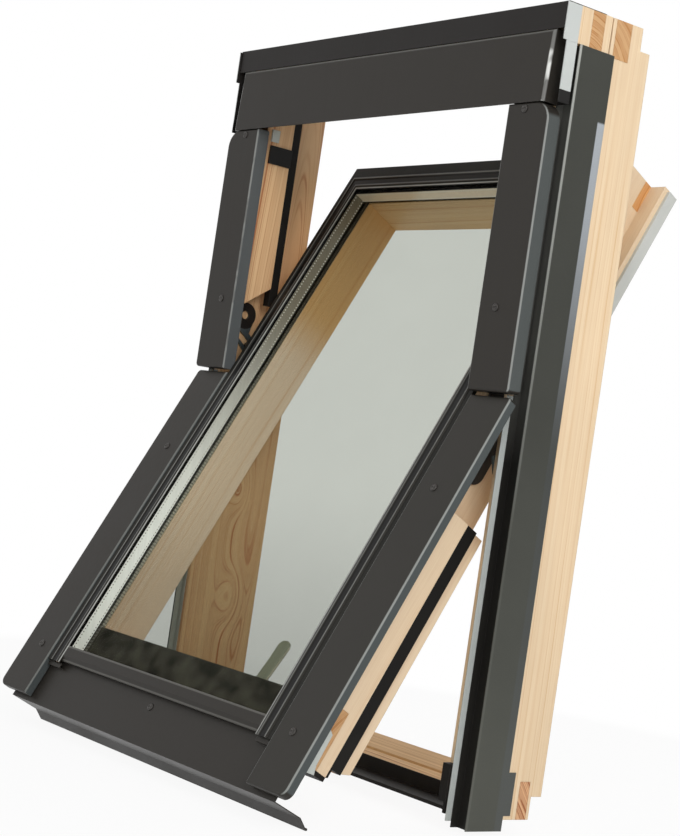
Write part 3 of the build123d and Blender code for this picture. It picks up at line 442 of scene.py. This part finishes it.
# Glazing beads: painted highlights on the ridges along the profile, each a distance from the inner edge and a
# strength;
# painted shade in a black valley
beadLook = dict(innerHalf=0.186, innerTop=0.6735, ridges=((0.0012, 1.0), (0.0052, 0.3), (0.0160, 0.4)),
                ridgeHalf=0.0007, uneven=(0.55, 0.95), valley=(0.0068, 0.0142), soft=0.0006, face=srgb(44, 42, 38),
                ridge=srgb(196, 197, 192), dark=srgb(16, 15, 14), roughness=0.35, roughSpread=0.05, edgeRadius=0.0005)


def beadMaterial(name):
    look = beadLook
    material, tree, shader = newMaterial(name, **{"Specular IOR Level": coatLook["gloss"]})
    place, grain = sashCoords(tree), coatNoise(tree)
    edge = useGroup(tree, edgeMask, Radius=look["edgeRadius"])
    outward = mathNode(tree, "MAXIMUM", subtract(tree, mathNode(tree, "ABSOLUTE", place["X"]), look["innerHalf"]),
                       subtract(tree, place["Z"], look["innerTop"]))
    # painted shade in the valley
    low, high = look["valley"]
    within = multiply(tree, stepMask(tree, outward, low, look["soft"]), stepMask(tree, outward, high, -look["soft"]))
    color = mixColor(tree, within, look["face"], look["dark"])
    # painted highlights along the ridges
    bright = 0.0
    for ridge, strength in look["ridges"]:
        bright = mathNode(tree, "MAXIMUM", lineMask(tree, outward, ridge, look["ridgeHalf"], strength), bright)
    uneven = mapRange(tree, grain["Blotch"], *noiseSpan, *look["uneven"])
    link(tree, mixColor(tree, multiply(tree, bright, uneven), color, look["ridge"]), shader.inputs["Base Color"])
    setRoughness(tree, shader, grain["Speckle"], look["roughness"], look["roughSpread"])
    link(tree, edge["Normal"], shader.inputs["Normal"])
    return material


rubberLook = dict(gloss=0.15, edgeRadius=0.0009, dustSpan=(0.45, 0.75), dustShare=0.25, edgeShare=0.35,
                  roughSpread=0.06, bump=(0.15, 0.0003))


def rubberMaterial(name, face, dust, roughness):
    look = rubberLook
    material, tree, shader = newMaterial(name, **{"Specular IOR Level": look["gloss"]})
    grain = coatNoise(tree)
    edge = useGroup(tree, edgeMask, Radius=look["edgeRadius"])
    powder = addUp(tree, mapRange(tree, grain["Blotch"], *look["dustSpan"], 0.0, look["dustShare"]),
                   multiply(tree, edge["Edge"], look["edgeShare"]))
    link(tree, mixColor(tree, powder, face, dust), shader.inputs["Base Color"])
    setRoughness(tree, shader, grain["Speckle"], roughness, look["roughSpread"])
    addBump(tree, shader, grain["Speckle"], edge["Normal"], *look["bump"])
    return material


# Bedding band: mottled black at the foot of the glass; up its sides and top a painted reflection and shade of the
# spacer, pale low, dark high and notched at the pitch of its holes
bandLook = dict(face=srgb(64, 61, 56), dust=srgb(112, 108, 98), fleck=45.0, sideHalf=0.1895, topFrom=0.60,
                sideLow=srgb(206, 203, 192), sideHigh=srgb(74, 66, 54), bends=(0.16, 0.56), pitch=0.0038, holeReflection=0.6,
                holeReflectionSpan=(-0.2, 0.7), roughness=0.55)


def bandMaterial(name):
    look = bandLook
    material, tree, shader = newMaterial(name, **{"Specular IOR Level": rubberLook["gloss"]})
    place, grain = sashCoords(tree), coatNoise(tree)
    across, height = mathNode(tree, "ABSOLUTE", place["X"]), place["Z"]
    flecks = mapRange(tree, noiseNode(tree, pieceCoords(tree)["Object"], look["fleck"], 1.0), *noiseSpan)
    foot = mixColor(tree, flecks, look["face"], look["dust"])
    # painted reflection and shade of the spacer: pale low, dark high, with its holes reflected
    side = mixColor(tree, mapRange(tree, height, *look["bends"], smooth=True), look["sideLow"], look["sideHigh"])
    wave = mathNode(tree, "SINE", multiply(tree, height, 2 * math.pi / look["pitch"]))
    side = mixColor(tree, mapRange(tree, wave, *look["holeReflectionSpan"], 0.0, look["holeReflection"]), side, look["face"])
    beside = mathNode(tree, "GREATER_THAN", across, look["sideHalf"])
    above = mathNode(tree, "GREATER_THAN", height, look["topFrom"])
    link(tree, mixColor(tree, mathNode(tree, "MAXIMUM", beside, above), foot, side), shader.inputs["Base Color"])
    setRoughness(tree, shader, grain["Speckle"], look["roughness"], rubberLook["roughSpread"])
    return material


# Glass: clear panes with a faint green-grey cast, darker at the foot; lamps shine through them. The low index keeps
# the white studio from being mirrored over the black band
glassLook = dict(cast=(0.99, 1.01, 0.965), low=0.62, high=0.735, bends=(0.05, 0.30), film=7.0, filmDetail=3.0,
                 filmRoughness=0.6, filmShade=0.008, filmSpan=(0.35, 0.75), filmRough=0.006, ior=1.02,
                 shadowCast=(0.985, 0.99, 0.98), shares=dict(outer_pane=0.45, inner_pane=1.55))


def glassMaterial(name, share):
    look = glassLook
    material, tree, shader = newMaterial(name, **{
        "Transmission Weight": 1.0, "IOR": look["ior"], "Metallic": 0.0})
    coords = pieceCoords(tree)
    film = noiseNode(tree, coords["Object"], look["film"], look["filmDetail"], look["filmRoughness"])
    tone = addUp(tree, mapRange(tree, sashCoords(tree)["Z"], *look["bends"], look["low"], look["high"], smooth=True),
                 mapRange(tree, film, *noiseSpan, -look["filmShade"], look["filmShade"]))
    link(tree, scaleColor(tree, look["cast"], mathNode(tree, "POWER", tone, share)), shader.inputs["Base Color"])
    link(tree, mapRange(tree, film, *look["filmSpan"], 0.0, look["filmRough"]), shader.inputs["Roughness"])
    clear = addNode(tree, "ShaderNodeBsdfTransparent")
    link(tree, look["shadowCast"], clear.inputs["Color"])
    light = addNode(tree, "ShaderNodeLightPath")
    mixShaders(tree, light.outputs["Is Shadow Ray"], shader.outputs[0], clear.outputs[0],
               tree.nodes["Material Output"].inputs["Surface"])
    return material


metalLook = dict(edgeRadius=0.0006, shade=(0.9, 1.08), roughSpread=0.05)


def metalMaterial(name, face, metallic, roughness):
    look = metalLook
    material, tree, shader = newMaterial(name, Metallic=metallic)
    grain = coatNoise(tree)
    edge = useGroup(tree, edgeMask, Radius=look["edgeRadius"])
    shade = mapRange(tree, grain["Streak"], *noiseSpan, *look["shade"])
    link(tree, scaleColor(tree, face, shade), shader.inputs["Base Color"])
    setRoughness(tree, shader, grain["Blotch"], roughness, look["roughSpread"])
    link(tree, edge["Normal"], shader.inputs["Normal"])
    return material


# Pivot track: black eye, bluish steel below it
hingeLook = dict(eye=(-0.026, 0.473), reach=0.0165, soft=0.0006, black=srgb(26, 25, 24), steel=srgb(104, 118, 122),
                 shade=(0.88, 1.08), metallic=0.7, roughness=0.4)


def hingeMaterial(name):
    look = hingeLook
    material, tree, shader = newMaterial(name)
    place, grain = splitXYZ(tree, pieceCoords(tree)["Object"]), coatNoise(tree)
    edge = useGroup(tree, edgeMask, Radius=metalLook["edgeRadius"])
    eyeY, eyeZ = look["eye"]
    fromEye = distance(tree, subtract(tree, place["Y"], eyeY), subtract(tree, place["Z"], eyeZ))
    away = stepMask(tree, fromEye, look["reach"], look["soft"])
    shade = mapRange(tree, grain["Streak"], *noiseSpan, *look["shade"])
    color = mixColor(tree, away, look["black"], look["steel"])
    link(tree, scaleColor(tree, color, shade), shader.inputs["Base Color"])
    link(tree, multiply(tree, away, look["metallic"]), shader.inputs["Metallic"])
    setRoughness(tree, shader, grain["Blotch"], look["roughness"], metalLook["roughSpread"])
    link(tree, edge["Normal"], shader.inputs["Normal"])
    return material


# Spacer: bright diffuse strip in place of the metal's reflection, browned towards the top and on the legs across top
# and foot by a painted reflection of the pine, two rows of small holes, black sealant before and behind it
spacerLook = dict(face=(0.98, 0.99, 0.96), upper=(0.17, 0.145, 0.105), cross=(0.66, 0.54, 0.39), bends=(0.14, 0.54),
                  shade=(0.93, 1.03), hole=(0.16, 0.155, 0.14), lightHole=(0.66, 0.65, 0.60), pitch=0.0038,
                  radius=0.0007, holeSoft=(1.3, 0.8), rows=(-0.0540, -0.0434), front=-0.0561, rear=-0.0418,
                  sealant=(0.012, 0.011, 0.01), metallic=0.1, roughness=0.21, roughSpread=0.05)


def spacerMaterial(name):
    look = spacerLook
    material, tree, shader = newMaterial(name)
    x, y, z = sashCoords(tree)
    grain = coatNoise(tree)
    across = mathNode(tree, "ABSOLUTE", splitXYZ(tree, pieceCoords(tree)["Normal"])["X"])
    onSide = mathNode(tree, "GREATER_THAN", across, 0.5)
    along = addUp(tree, multiply(tree, onSide, z), multiply(tree, subtract(tree, 1.0, onSide), x))
    # a large whole number keeps the fraction's source above zero
    turns = mathNode(tree, "FRACT", addUp(tree, mathNode(tree, "DIVIDE", along, look["pitch"]), 1000.0))
    alongRow = multiply(tree, subtract(tree, turns, 0.5), look["pitch"])
    wide, narrow = (look["radius"] * share for share in look["holeSoft"])
    holes = 0.0
    for row in look["rows"]:
        dot = mapRange(tree, distance(tree, subtract(tree, y, row), alongRow), wide, narrow)
        holes = mathNode(tree, "MAXIMUM", dot, holes)
    # painted reflection of the pine: browner towards the top, and on the legs across top and foot
    graded = mapRange(tree, z, *look["bends"], smooth=True)
    strip = mixColor(tree, onSide, look["cross"], mixColor(tree, graded, look["face"], look["upper"]))
    strip = scaleColor(tree, strip, mapRange(tree, grain["Streak"], *noiseSpan, *look["shade"]))
    color = mixColor(tree, holes, strip, mixColor(tree, graded, look["hole"], look["lightHole"]))
    sealed = mathNode(tree, "MAXIMUM", mathNode(tree, "LESS_THAN", y, look["front"]),
                      mathNode(tree, "GREATER_THAN", y, look["rear"]))
    link(tree, mixColor(tree, sealed, color, look["sealant"]), shader.inputs["Base Color"])
    link(tree, mapRange(tree, sealed, 0.0, 1.0, look["metallic"], 0.0), shader.inputs["Metallic"])
    setRoughness(tree, shader, grain["Blotch"], look["roughness"], look["roughSpread"])
    return material


# Gutter: greenish coat with painted light that makes it paler downwards, a painted highlight along its front edge, a
# painted bluish reflection on the strip behind it that fades downwards, and painted shade in the channel inside;
# bends are heights
gutterLook = dict(face=srgb(62, 63, 58), blotchShade=(0.93, 1.06), speckleShade=0.05, lowerLift=1.70, liftFrom=0.40,
                  inside=srgb(27, 26, 24), insideHigh=srgb(84, 84, 80), insideBends=(0.34, 0.46), outside=0.2745,
                  ridge=srgb(172, 174, 168), ridgeLow=srgb(72, 73, 68), ridgeBends=(0.28, 0.76), ridgeEnd=-0.0419,
                  ridgeSoft=0.0005, strip=srgb(166, 171, 176), stripLow=srgb(64, 66, 64), stripStart=-0.0075,
                  stripSoft=0.0004, stripTop=0.677, stripTopSoft=0.001, stripFade=0.33, roughness=0.365,
                  roughSpread=0.055, edgeRadius=0.0007)


def gutterMaterial(name):
    look = gutterLook
    material, tree, shader = newMaterial(name, **{"Specular IOR Level": coatLook["gloss"]})
    x, y, z = splitXYZ(tree, pieceCoords(tree)["Object"])
    grain = coatNoise(tree)
    edge = useGroup(tree, edgeMask, Radius=look["edgeRadius"])
    outside = mathNode(tree, "GREATER_THAN", mathNode(tree, "ABSOLUTE", x), look["outside"])
    # painted bluish reflection on the strip behind, fading downwards
    strip = mixColor(tree, mapRange(tree, z, look["stripFade"], look["stripTop"], smooth=True),
                     look["stripLow"], look["strip"])
    onStrip = multiply(tree, stepMask(tree, y, look["stripStart"], look["stripSoft"]),
                       stepMask(tree, z, look["stripTop"], -look["stripTopSoft"]))
    # painted shade in the channel inside
    inside = mixColor(tree, mapRange(tree, z, *look["insideBends"]), look["inside"], look["insideHigh"])
    color = mixColor(tree, outside, inside, mixColor(tree, onStrip, look["face"], strip))
    # painted highlight along the front edge
    onRidge = stepMask(tree, y, look["ridgeEnd"], -look["ridgeSoft"])
    ridge = mixColor(tree, mapRange(tree, z, *look["ridgeBends"]), look["ridgeLow"], look["ridge"])
    color = mixColor(tree, multiply(tree, onRidge, outside), color, ridge)
    shade = addUp(tree, mapRange(tree, grain["Blotch"], *noiseSpan, *look["blotchShade"]),
                  mapRange(tree, grain["Speckle"], *noiseSpan, -look["speckleShade"], look["speckleShade"]))
    # painted light: lighter towards the bottom
    lift = mapRange(tree, z, look["liftFrom"], 0.0, 1.0, look["lowerLift"])
    link(tree, scaleColor(tree, color, multiply(tree, shade, lift)), shader.inputs["Base Color"])
    setRoughness(tree, shader, grain["Blotch"], look["roughness"], look["roughSpread"])
    link(tree, edge["Normal"], shader.inputs["Normal"])
    return material


# Plates on edge: pale on the outward face, dark on the inward face
plateLook = dict(outer=srgb(196, 200, 197), inner=srgb(34, 31, 29), paleSpan=(-0.3, 0.1), shade=(0.94, 1.03),
                 roughness=0.41, roughSpread=0.05, edgeRadius=0.0005)


def plateMaterial(name):
    look = plateLook
    material, tree, shader = newMaterial(name)
    coords, grain = pieceCoords(tree), coatNoise(tree)
    edge = useGroup(tree, edgeMask, Radius=look["edgeRadius"])
    side = mathNode(tree, "SIGN", splitXYZ(tree, coords["Object"])["X"])
    outward = multiply(tree, side, splitXYZ(tree, coords["Normal"])["X"])
    color = mixColor(tree, mapRange(tree, outward, *look["paleSpan"]), look["inner"], look["outer"])
    shade = mapRange(tree, grain["Blotch"], *noiseSpan, *look["shade"])
    link(tree, scaleColor(tree, color, shade), shader.inputs["Base Color"])
    setRoughness(tree, shader, grain["Speckle"], look["roughness"], look["roughSpread"])
    link(tree, edge["Normal"], shader.inputs["Normal"])
    return material


def paint(material, *names):
    for name in names:
        mesh = nodes[name].data
        mesh.materials.clear()
        mesh.materials.append(material)


def pair(name):
    return (f"left_{name}", f"right_{name}")


# Boards: the way each runs, its pith and its tints. The tints above 1 on left_stile and top_rail are painted light
# that brightens the pine behind the glass; left_stile's darker top tint is painted shade on the top of its inward
# face
boards = dict(
    right_jamb=dict(along="Z", leaning=False, pithX=-0.20, pithY=0.16, lean=0.01, ring=0.0068,
                    late=srgb(218, 180, 132)),
    left_jamb=dict(along="Z", leaning=False, pithX=0.225, pithY=-0.03, lean=0.06, ring=0.0090,
                   tint=(0.97, 0.83, 0.67), late=srgb(184, 110, 62), swirl=0.031),
    head_rail=dict(along="X", leaning=False, pithX=-0.70, pithY=0.05, ring=0.0055),
    sill_rail=dict(along="X", leaning=False, pithX=0.06, pithY=0.08, ring=0.0046, tint=(0.90, 0.75, 0.55),
                   late=srgb(158, 100, 52), endTint=(0.95, 0.85, 0.92)),
    right_stile=dict(along="Z", leaning=True, pithX=-0.18, pithY=0.10, ring=0.0060, tint=(0.98, 0.98, 1.0),
                     late=srgb(228, 198, 160)),
    left_stile=dict(along="Z", leaning=True, pithX=0.17, pithY=0.02, lean=0.02, ring=0.0080,
                    tint=(1.14, 1.16, 1.36), late=srgb(222, 186, 144), topPaintedShade=(0.96, 0.75, 0.48)),
    top_rail=dict(along="X", leaning=True, pithX=-0.63, pithY=0.09, tint=(1.18, 1.08, 0.90)),
    bottom_rail=dict(along="X", leaning=True, pithX=0.05, pithY=0.10))
for board, facts in boards.items():
    paint(pineMaterial(board + "Pine", **facts), board)

# Coats: what differs from coatLook, and the nodes that wear it
paleLook = dict(edge=srgb(225, 228, 224), roughness=0.45, edgeShare=0.4)
coats = dict(
    # fold and top colours are painted highlights, flange colours painted light, the foot's lines painted highlight
    # lines
    hoodCoat=(dict(fold=srgb(226, 227, 223), foldShare=0.9, topShare=0.7, broken=0.8), "hood"),
    leftUpperCoat=(dict(fold=srgb(162, 165, 162), foldShare=0.6, broken=0.4, flange=srgb(86, 89, 90)),
                   "left_upper_cover"),
    rightUpperCoat=(dict(fold=srgb(168, 171, 168), foldShare=0.62, flange=srgb(78, 82, 81)), "right_upper_cover"),
    leftLowerCoat=(dict(leaning=True, foldShare=0.4, flange=srgb(74, 79, 79)), "left_lower_cover"),
    rightLowerCoat=(dict(leaning=True, foldShare=0.7, face=srgb(49, 47, 43), flange=srgb(74, 79, 79)),
                    "right_lower_cover"),
    apronCoat=(dict(leaning=True, edge=srgb(120, 116, 110)), "apron"),
    footCoat=(dict(leaning=True, edge=srgb(150, 149, 143), edgeShare=0.95, edgeRadius=0.0012,
                   lines=((0.0356, 0.0009, 0.30), (0.0203, 0.0008, 0.28))), "bottom_bead"),
    # painted shade: the head flashing is coloured darker than the other covers
    shadedFlashingCoat=(dict(face=srgb(30, 27, 25), edge=srgb(84, 82, 78), roughness=0.42), "head_flashing"),
    # painted shade: the sill cover is coloured near black where it lies in shadow
    shadedSillCoat=(dict(face=srgb(21, 17, 13), edge=srgb(62, 57, 50), edgeShare=0.4, roughness=0.5), "sill_cover"),
    paleCoat=(dict(paleLook, face=srgb(198, 203, 198)), *pair("catch"), "corner_plates"),
    upstandCoat=(dict(paleLook, face=srgb(176, 181, 178)), *pair("upstand")),
    handleCoat=(dict(face=srgb(104, 106, 92), edge=srgb(150, 150, 138), edgeShare=0.5), "handle_base"))
for coat, (changes, *wearers) in coats.items():
    paint(coatMaterial(coat, **changes), *wearers)

rubbers = dict(
    blackRubber=(dict(face=srgb(20, 18, 16), dust=srgb(56, 53, 48), roughness=0.6), *pair("sill_block"),
                 *pair("frame_seal"), "head_seal", *pair("side_seal"), "bottom_seal", "setting_blocks"),
    gasketRubber=(dict(face=srgb(30, 29, 26), dust=srgb(62, 60, 52), roughness=0.55), "edge_gasket"),
    greyRubber=(dict(face=srgb(192, 194, 189), dust=srgb(222, 222, 217), roughness=0.55), "lip_seal"),
    blackPlastic=(dict(face=srgb(28, 27, 26), dust=srgb(66, 65, 62), roughness=0.42), *pair("cover_clip"),
                  *pair("keeper")))
for rubber, (facts, *wearers) in rubbers.items():
    paint(rubberMaterial(rubber, **facts), *wearers)

metals = dict(
    blackSteel=(dict(face=srgb(40, 40, 40), metallic=0.2, roughness=0.4), *pair("hinge_shoe")),
    bareSteel=(dict(face=(0.55, 0.55, 0.54), metallic=1.0, roughness=0.32), "latch_bolt", "sill_keeper"))
for metal, (facts, *wearers) in metals.items():
    paint(metalMaterial(metal, **facts), *wearers)

paint(gutterMaterial("gutterCoat"), *pair("gutter"))
paint(beadMaterial("beadCoat"), *pair("bead"), "top_bead")
paint(plateMaterial("plateCoat"), *pair("end_plate"), *pair("side_plate"))
paint(bandMaterial("bandRubber"), "bedding_band")
paint(spacerMaterial("spacerAlu"), "spacer_frame")
paint(hingeMaterial("trackSteel"), *pair("hinge_track"))
for pane, share in glassLook["shares"].items():
    paint(glassMaterial(pane + "Glass", share), pane)
print("stage: materials set")

# New pieces
weld = dict(merge=1e-6, thin=1e-7)


def surfacePiece(name, sheets, material, body, replaced=None):  # grids of points, wrapped along the second way
    points, faces, start = [], [], 0
    for grid in sheets:
        rows, columns = grid.shape[:2]
        index = start + np.arange(rows * columns).reshape(rows, columns)
        ring = np.roll(index, -1, axis=1)
        faces.append(np.stack([index[:-1], ring[:-1], ring[1:], index[1:]], axis=-1).reshape(-1, 4))
        points.append(grid.reshape(-1, 3))
        start += rows * columns
    mesh = bpy.data.meshes.new(name)
    mesh.from_pydata(np.concatenate(points).tolist(), [], np.concatenate(faces).tolist())
    work = bmesh.new()
    work.from_mesh(mesh)
    bmesh.ops.remove_doubles(work, verts=work.verts, dist=weld["merge"])
    bmesh.ops.dissolve_degenerate(work, edges=work.edges, dist=weld["thin"])
    bmesh.ops.recalc_face_normals(work, faces=work.faces)
    work.to_mesh(mesh)
    work.free()
    mesh.polygons.foreach_set("use_smooth", np.ones(len(mesh.polygons), bool))
    mesh.materials.append(material)
    piece = bpy.data.objects.new(name, mesh)
    bpy.context.scene.collection.objects.link(piece)
    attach(piece, body)
    if replaced:
        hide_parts(replaced)


def gridOf(first, turns):  # the first values down the rows, one turn across the columns
    return np.meshgrid(first, np.arange(turns) * 2 * np.pi / turns, indexing="ij")


screwLook = dict(rise=0.0017, fullness=0.82, barHalf=0.62, barWidth=0.15, barSoft=0.08, recess=0.0009, rings=14,
                 turns=48, gap=0.02, steel=dict(face=srgb(58, 55, 52), metallic=0.4, roughness=0.45))


def screwPlaces(node, leaning):  # one box for each screw of the node: points nearer than the gap belong together
    mesh = nodes[node].data
    flat = np.empty(len(mesh.vertices) * 3)
    mesh.vertices.foreach_get("co", flat)
    left = flat.reshape(-1, 3)
    left = shutPoint(left) if leaning else left
    boxes = []
    while len(left):
        near = np.linalg.norm(left - left[0], axis=1) < screwLook["gap"]
        boxes.append((left[near].min(axis=0), left[near].max(axis=0)))
        left = left[~near]
    return boxes


def softBar(u, v):  # 1 within a bar along u, soft at its sides
    inside = [np.clip((half - np.abs(value)) / screwLook["barSoft"] + 0.5, 0, 1)
              for value, half in ((u, screwLook["barHalf"]), (v, screwLook["barWidth"]))]
    return inside[0] * inside[1]


def screwHead(low, high):  # dome: rise * sqrt(1 - fullness r^2) less a cross-shaped recess, on a flat base
    middle = (low + high) / 2
    radius = (high[0] - low[0]) / 2
    r, turn = gridOf(np.linspace(0, 1, screwLook["rings"]), screwLook["turns"])
    u, v = r * np.cos(turn), r * np.sin(turn)
    bars = np.maximum(softBar(u, v), softBar(v, u))
    height = screwLook["rise"] * np.sqrt(1 - screwLook["fullness"] * r ** 2) - screwLook["recess"] * bars
    dome = np.stack([middle[0] + radius * u, high[1] - height, middle[2] + radius * v], axis=-1)
    rim = dome[-1:].copy()
    rim[..., 1] = high[1]
    foot = np.broadcast_to(np.array([middle[0], high[1], middle[2]]), rim.shape)
    return np.concatenate([dome, rim, foot])


def buildScrews():
    steel = metalMaterial("screwSteel", **screwLook["steel"])
    for name, node, body, leaning in (("frameScrewHeads", "frame_screws", "frame", False),
                                      ("sashScrewHeads", "sash_screws", "sash", True)):
        heads = [screwHead(*box) for box in screwPlaces(node, leaning)]
        heads = [sashPoint(head) if leaning else head for head in heads]
        surfacePiece(name, heads, steel, body, node)
        print("stage:", name, len(heads))


# the lever's light edge and flange colours are a painted highlight on its edges and painted light on its sides
leverLook = dict(y=0.0415, foot=0.060, tip=0.148, reach=0.011, waist=0.65, halfWidth=0.0080, tipHalfWidth=0.0094,
                 halfThickness=0.0034, squareness=2.8, dish=0.0009, dishAt=0.72, dishSpread=0.16, round=0.10, rows=60,
                 turns=40, knuckle=0.0064, knuckleHalf=0.0080, knucklePower=8, knuckleRows=25, knuckleTurns=36,
                 coat=dict(face=srgb(182, 186, 170), edge=srgb(226, 226, 212), flange=srgb(226, 226, 212)))


def leverSurface():  # superellipse section along y = 2 (reach - 2 bend) t^2 + (4 bend - reach) t
    # it closes in at the tip as sqrt(1 - q^2), and has a dish for the thumb, exp(-((t - dishAt) / dishSpread)^2)
    look = leverLook
    t, turn = gridOf(np.linspace(0, 1, look["rows"]), look["turns"])
    bend = look["reach"] * look["waist"]
    curve = 2 * (look["reach"] - 2 * bend) * t ** 2 + (4 * bend - look["reach"]) * t
    power = 2 / look["squareness"]
    wide = np.sign(np.cos(turn)) * np.abs(np.cos(turn)) ** power
    thick = np.sign(np.sin(turn)) * np.abs(np.sin(turn)) ** power
    closing = np.sqrt(np.clip(1 - (np.clip(t - 1 + look["round"], 0, None) / look["round"]) ** 2, 0, 1))
    half = look["halfWidth"] + (look["tipHalfWidth"] - look["halfWidth"]) * t
    hollow = np.exp(-((t - look["dishAt"]) / look["dishSpread"]) ** 2)
    dish = look["dish"] * hollow * (1 - wide ** 2) * np.sign(thick)
    y = look["y"] + curve + (look["halfThickness"] * thick - dish) * closing
    return np.stack([half * wide * closing, y, look["foot"] + (look["tip"] - look["foot"]) * t], axis=-1)


def knuckleSurface():  # barrel about the pin: radius * (1 - s^p)^(1/p)
    look = leverLook
    s, turn = gridOf(np.linspace(-1, 1, look["knuckleRows"]), look["knuckleTurns"])
    radius = look["knuckle"] * np.clip(1 - np.abs(s) ** look["knucklePower"], 0, 1) ** (1 / look["knucklePower"])
    y, z = look["y"] + radius * np.cos(turn), look["foot"] + radius * np.sin(turn)
    return np.stack([look["knuckleHalf"] * s, y, z], axis=-1)


hemLook = dict(y=-0.0056, z=-0.0372, radius=0.0014, half=0.2495, turns=20, coat=dict(face=srgb(56, 51, 46)))


def hemSurface():  # rolled edge: a tube (y, z) + radius (cos, sin) across the sash, closed at both ends
    look = hemLook
    s, turn = gridOf(np.array([-1, -1, 1, 1.0]), look["turns"])
    radius = look["radius"] * np.array([0, 1, 1, 0.0])[:, None]
    return np.stack([look["half"] * s, look["y"] + radius * np.cos(turn), look["z"] + radius * np.sin(turn)], axis=-1)


buildScrews()
surfacePiece("leverGrip", [sashPoint(leverSurface()), sashPoint(knuckleSurface())],
             coatMaterial("leverCoat", **leverLook["coat"]), "handle", "handle_lever")
surfacePiece("dripHem", [sashPoint(hemSurface())], coatMaterial("hemCoat", **hemLook["coat"]), "sash")
print("stage: new pieces built")

# Studio: pale floor that fades into the white background, four soft lamps and an even sky
studio = dict(floorSize=14.0, floorColor=(0.88, 0.88, 0.88), floorRoughness=0.8, fadeFrom=0.25, fadeTo=1.0,
              leastWhite=0.92, skyColor=(1.0, 1.0, 1.0), skyStrength=0.40, seenStrength=1.0, aim=(0, 0, 0.4))
lamps = dict(
    keyLamp=dict(place=(2.6, -0.9, 1.7), size=(1.4, 1.4), power=38.0),
    fillLamp=dict(place=(-1.6, -2.4, 1.0), size=(1.8, 1.8), power=5.0),
    topLamp=dict(place=(0.2, 1.4, 2.6), size=(1.4, 1.4), power=12.0),
    stripLamp=dict(place=(1.8, -2.4, 1.3), size=(0.5, 2.4), power=16.0))


def floorMaterial():
    material, tree, shader = newMaterial(
        "paleFloor", **{"Roughness": studio["floorRoughness"], "Base Color": studio["floorColor"]})
    length = addNode(tree, "ShaderNodeVectorMath", operation="LENGTH")
    link(tree, pieceCoords(tree)["Object"], length.inputs[0])
    fade = mapRange(tree, length.outputs["Value"], studio["fadeFrom"], studio["fadeTo"], smooth=True)
    whiter = mathNode(tree, "MAXIMUM", fade, studio["leastWhite"])
    glow = addNode(tree, "ShaderNodeEmission")
    mixShaders(tree, multiply(tree, whiter, seenRays(tree)), shader.outputs[0], glow.outputs[0],
               tree.nodes["Material Output"].inputs["Surface"])
    return material


def buildFloor():
    half = studio["floorSize"] / 2
    z = float(cadBox[0][2])
    mesh = bpy.data.meshes.new("floor")
    mesh.from_pydata([(-half, -half, z), (half, -half, z), (half, half, z), (-half, half, z)], [], [(0, 1, 2, 3)])
    mesh.materials.append(floorMaterial())
    floor = bpy.data.objects.new("floor", mesh)
    bpy.context.scene.collection.objects.link(floor)


def background(tree, strength):
    node = addNode(tree, "ShaderNodeBackground")
    link(tree, studio["skyColor"], node.inputs["Color"])
    link(tree, strength, node.inputs["Strength"])
    return node.outputs[0]


def buildSky():  # white where it is seen, dimmer as a light
    world = bpy.data.worlds.new("studioSky")
    bpy.context.scene.world = world
    world.use_nodes = True
    tree = world.node_tree
    tree.nodes.clear()
    output = addNode(tree, "ShaderNodeOutputWorld")
    mixShaders(tree, seenRays(tree), background(tree, studio["skyStrength"]),
               background(tree, studio["seenStrength"]), output.inputs["Surface"])


def buildLamps():
    for name, facts in lamps.items():
        lamp = bpy.data.lights.new(name, "AREA")
        lamp.energy = facts["power"]
        lamp.shape = "RECTANGLE"
        lamp.size, lamp.size_y = facts["size"]
        holder = bpy.data.objects.new(name, lamp)
        holder.location = facts["place"]
        holder.visible_transmission = False
        towards = Vector(studio["aim"]) - Vector(facts["place"])
        holder.rotation_euler = towards.to_track_quat("-Z", "Y").to_euler()
        bpy.context.scene.collection.objects.link(holder)


buildFloor()
buildSky()
buildLamps()

# Camera fitted to the photograph's lines; image 680 by 836
view = dict(place=(1.538255, -1.239875, 0.317747), right=(0.598688, 0.787452, 0.146601),
            down=(0.080098, 0.123251, -0.989138), forward=(-0.796968, 0.603927, 0.010715),
            focalPixels=1823.344, centre=(319.763, 439.118), width=680, height=836, sensor=36.0, clip=(0.05, 60.0))


def buildCamera():
    data = bpy.data.cameras.new("photoView")
    camera = bpy.data.objects.new("photoView", data)
    bpy.context.scene.collection.objects.link(camera)
    tall = max(view["width"], view["height"])
    data.sensor_width = view["sensor"]
    data.lens = view["focalPixels"] * view["sensor"] / tall
    data.shift_x = (view["width"] / 2 - view["centre"][0]) / tall
    data.shift_y = (view["centre"][1] - view["height"] / 2) / tall
    data.clip_start, data.clip_end = view["clip"]
    right, down, ahead = (Vector(view[key]) for key in ("right", "down", "forward"))
    turn = Matrix((right, -down, -ahead)).transposed().to_4x4()
    camera.matrix_world = Matrix.Translation(view["place"]) @ turn
    bpy.context.scene.camera = camera


buildCamera()
bpy.context.scene.view_settings.view_transform = "Standard"
print("stage: studio and camera set")
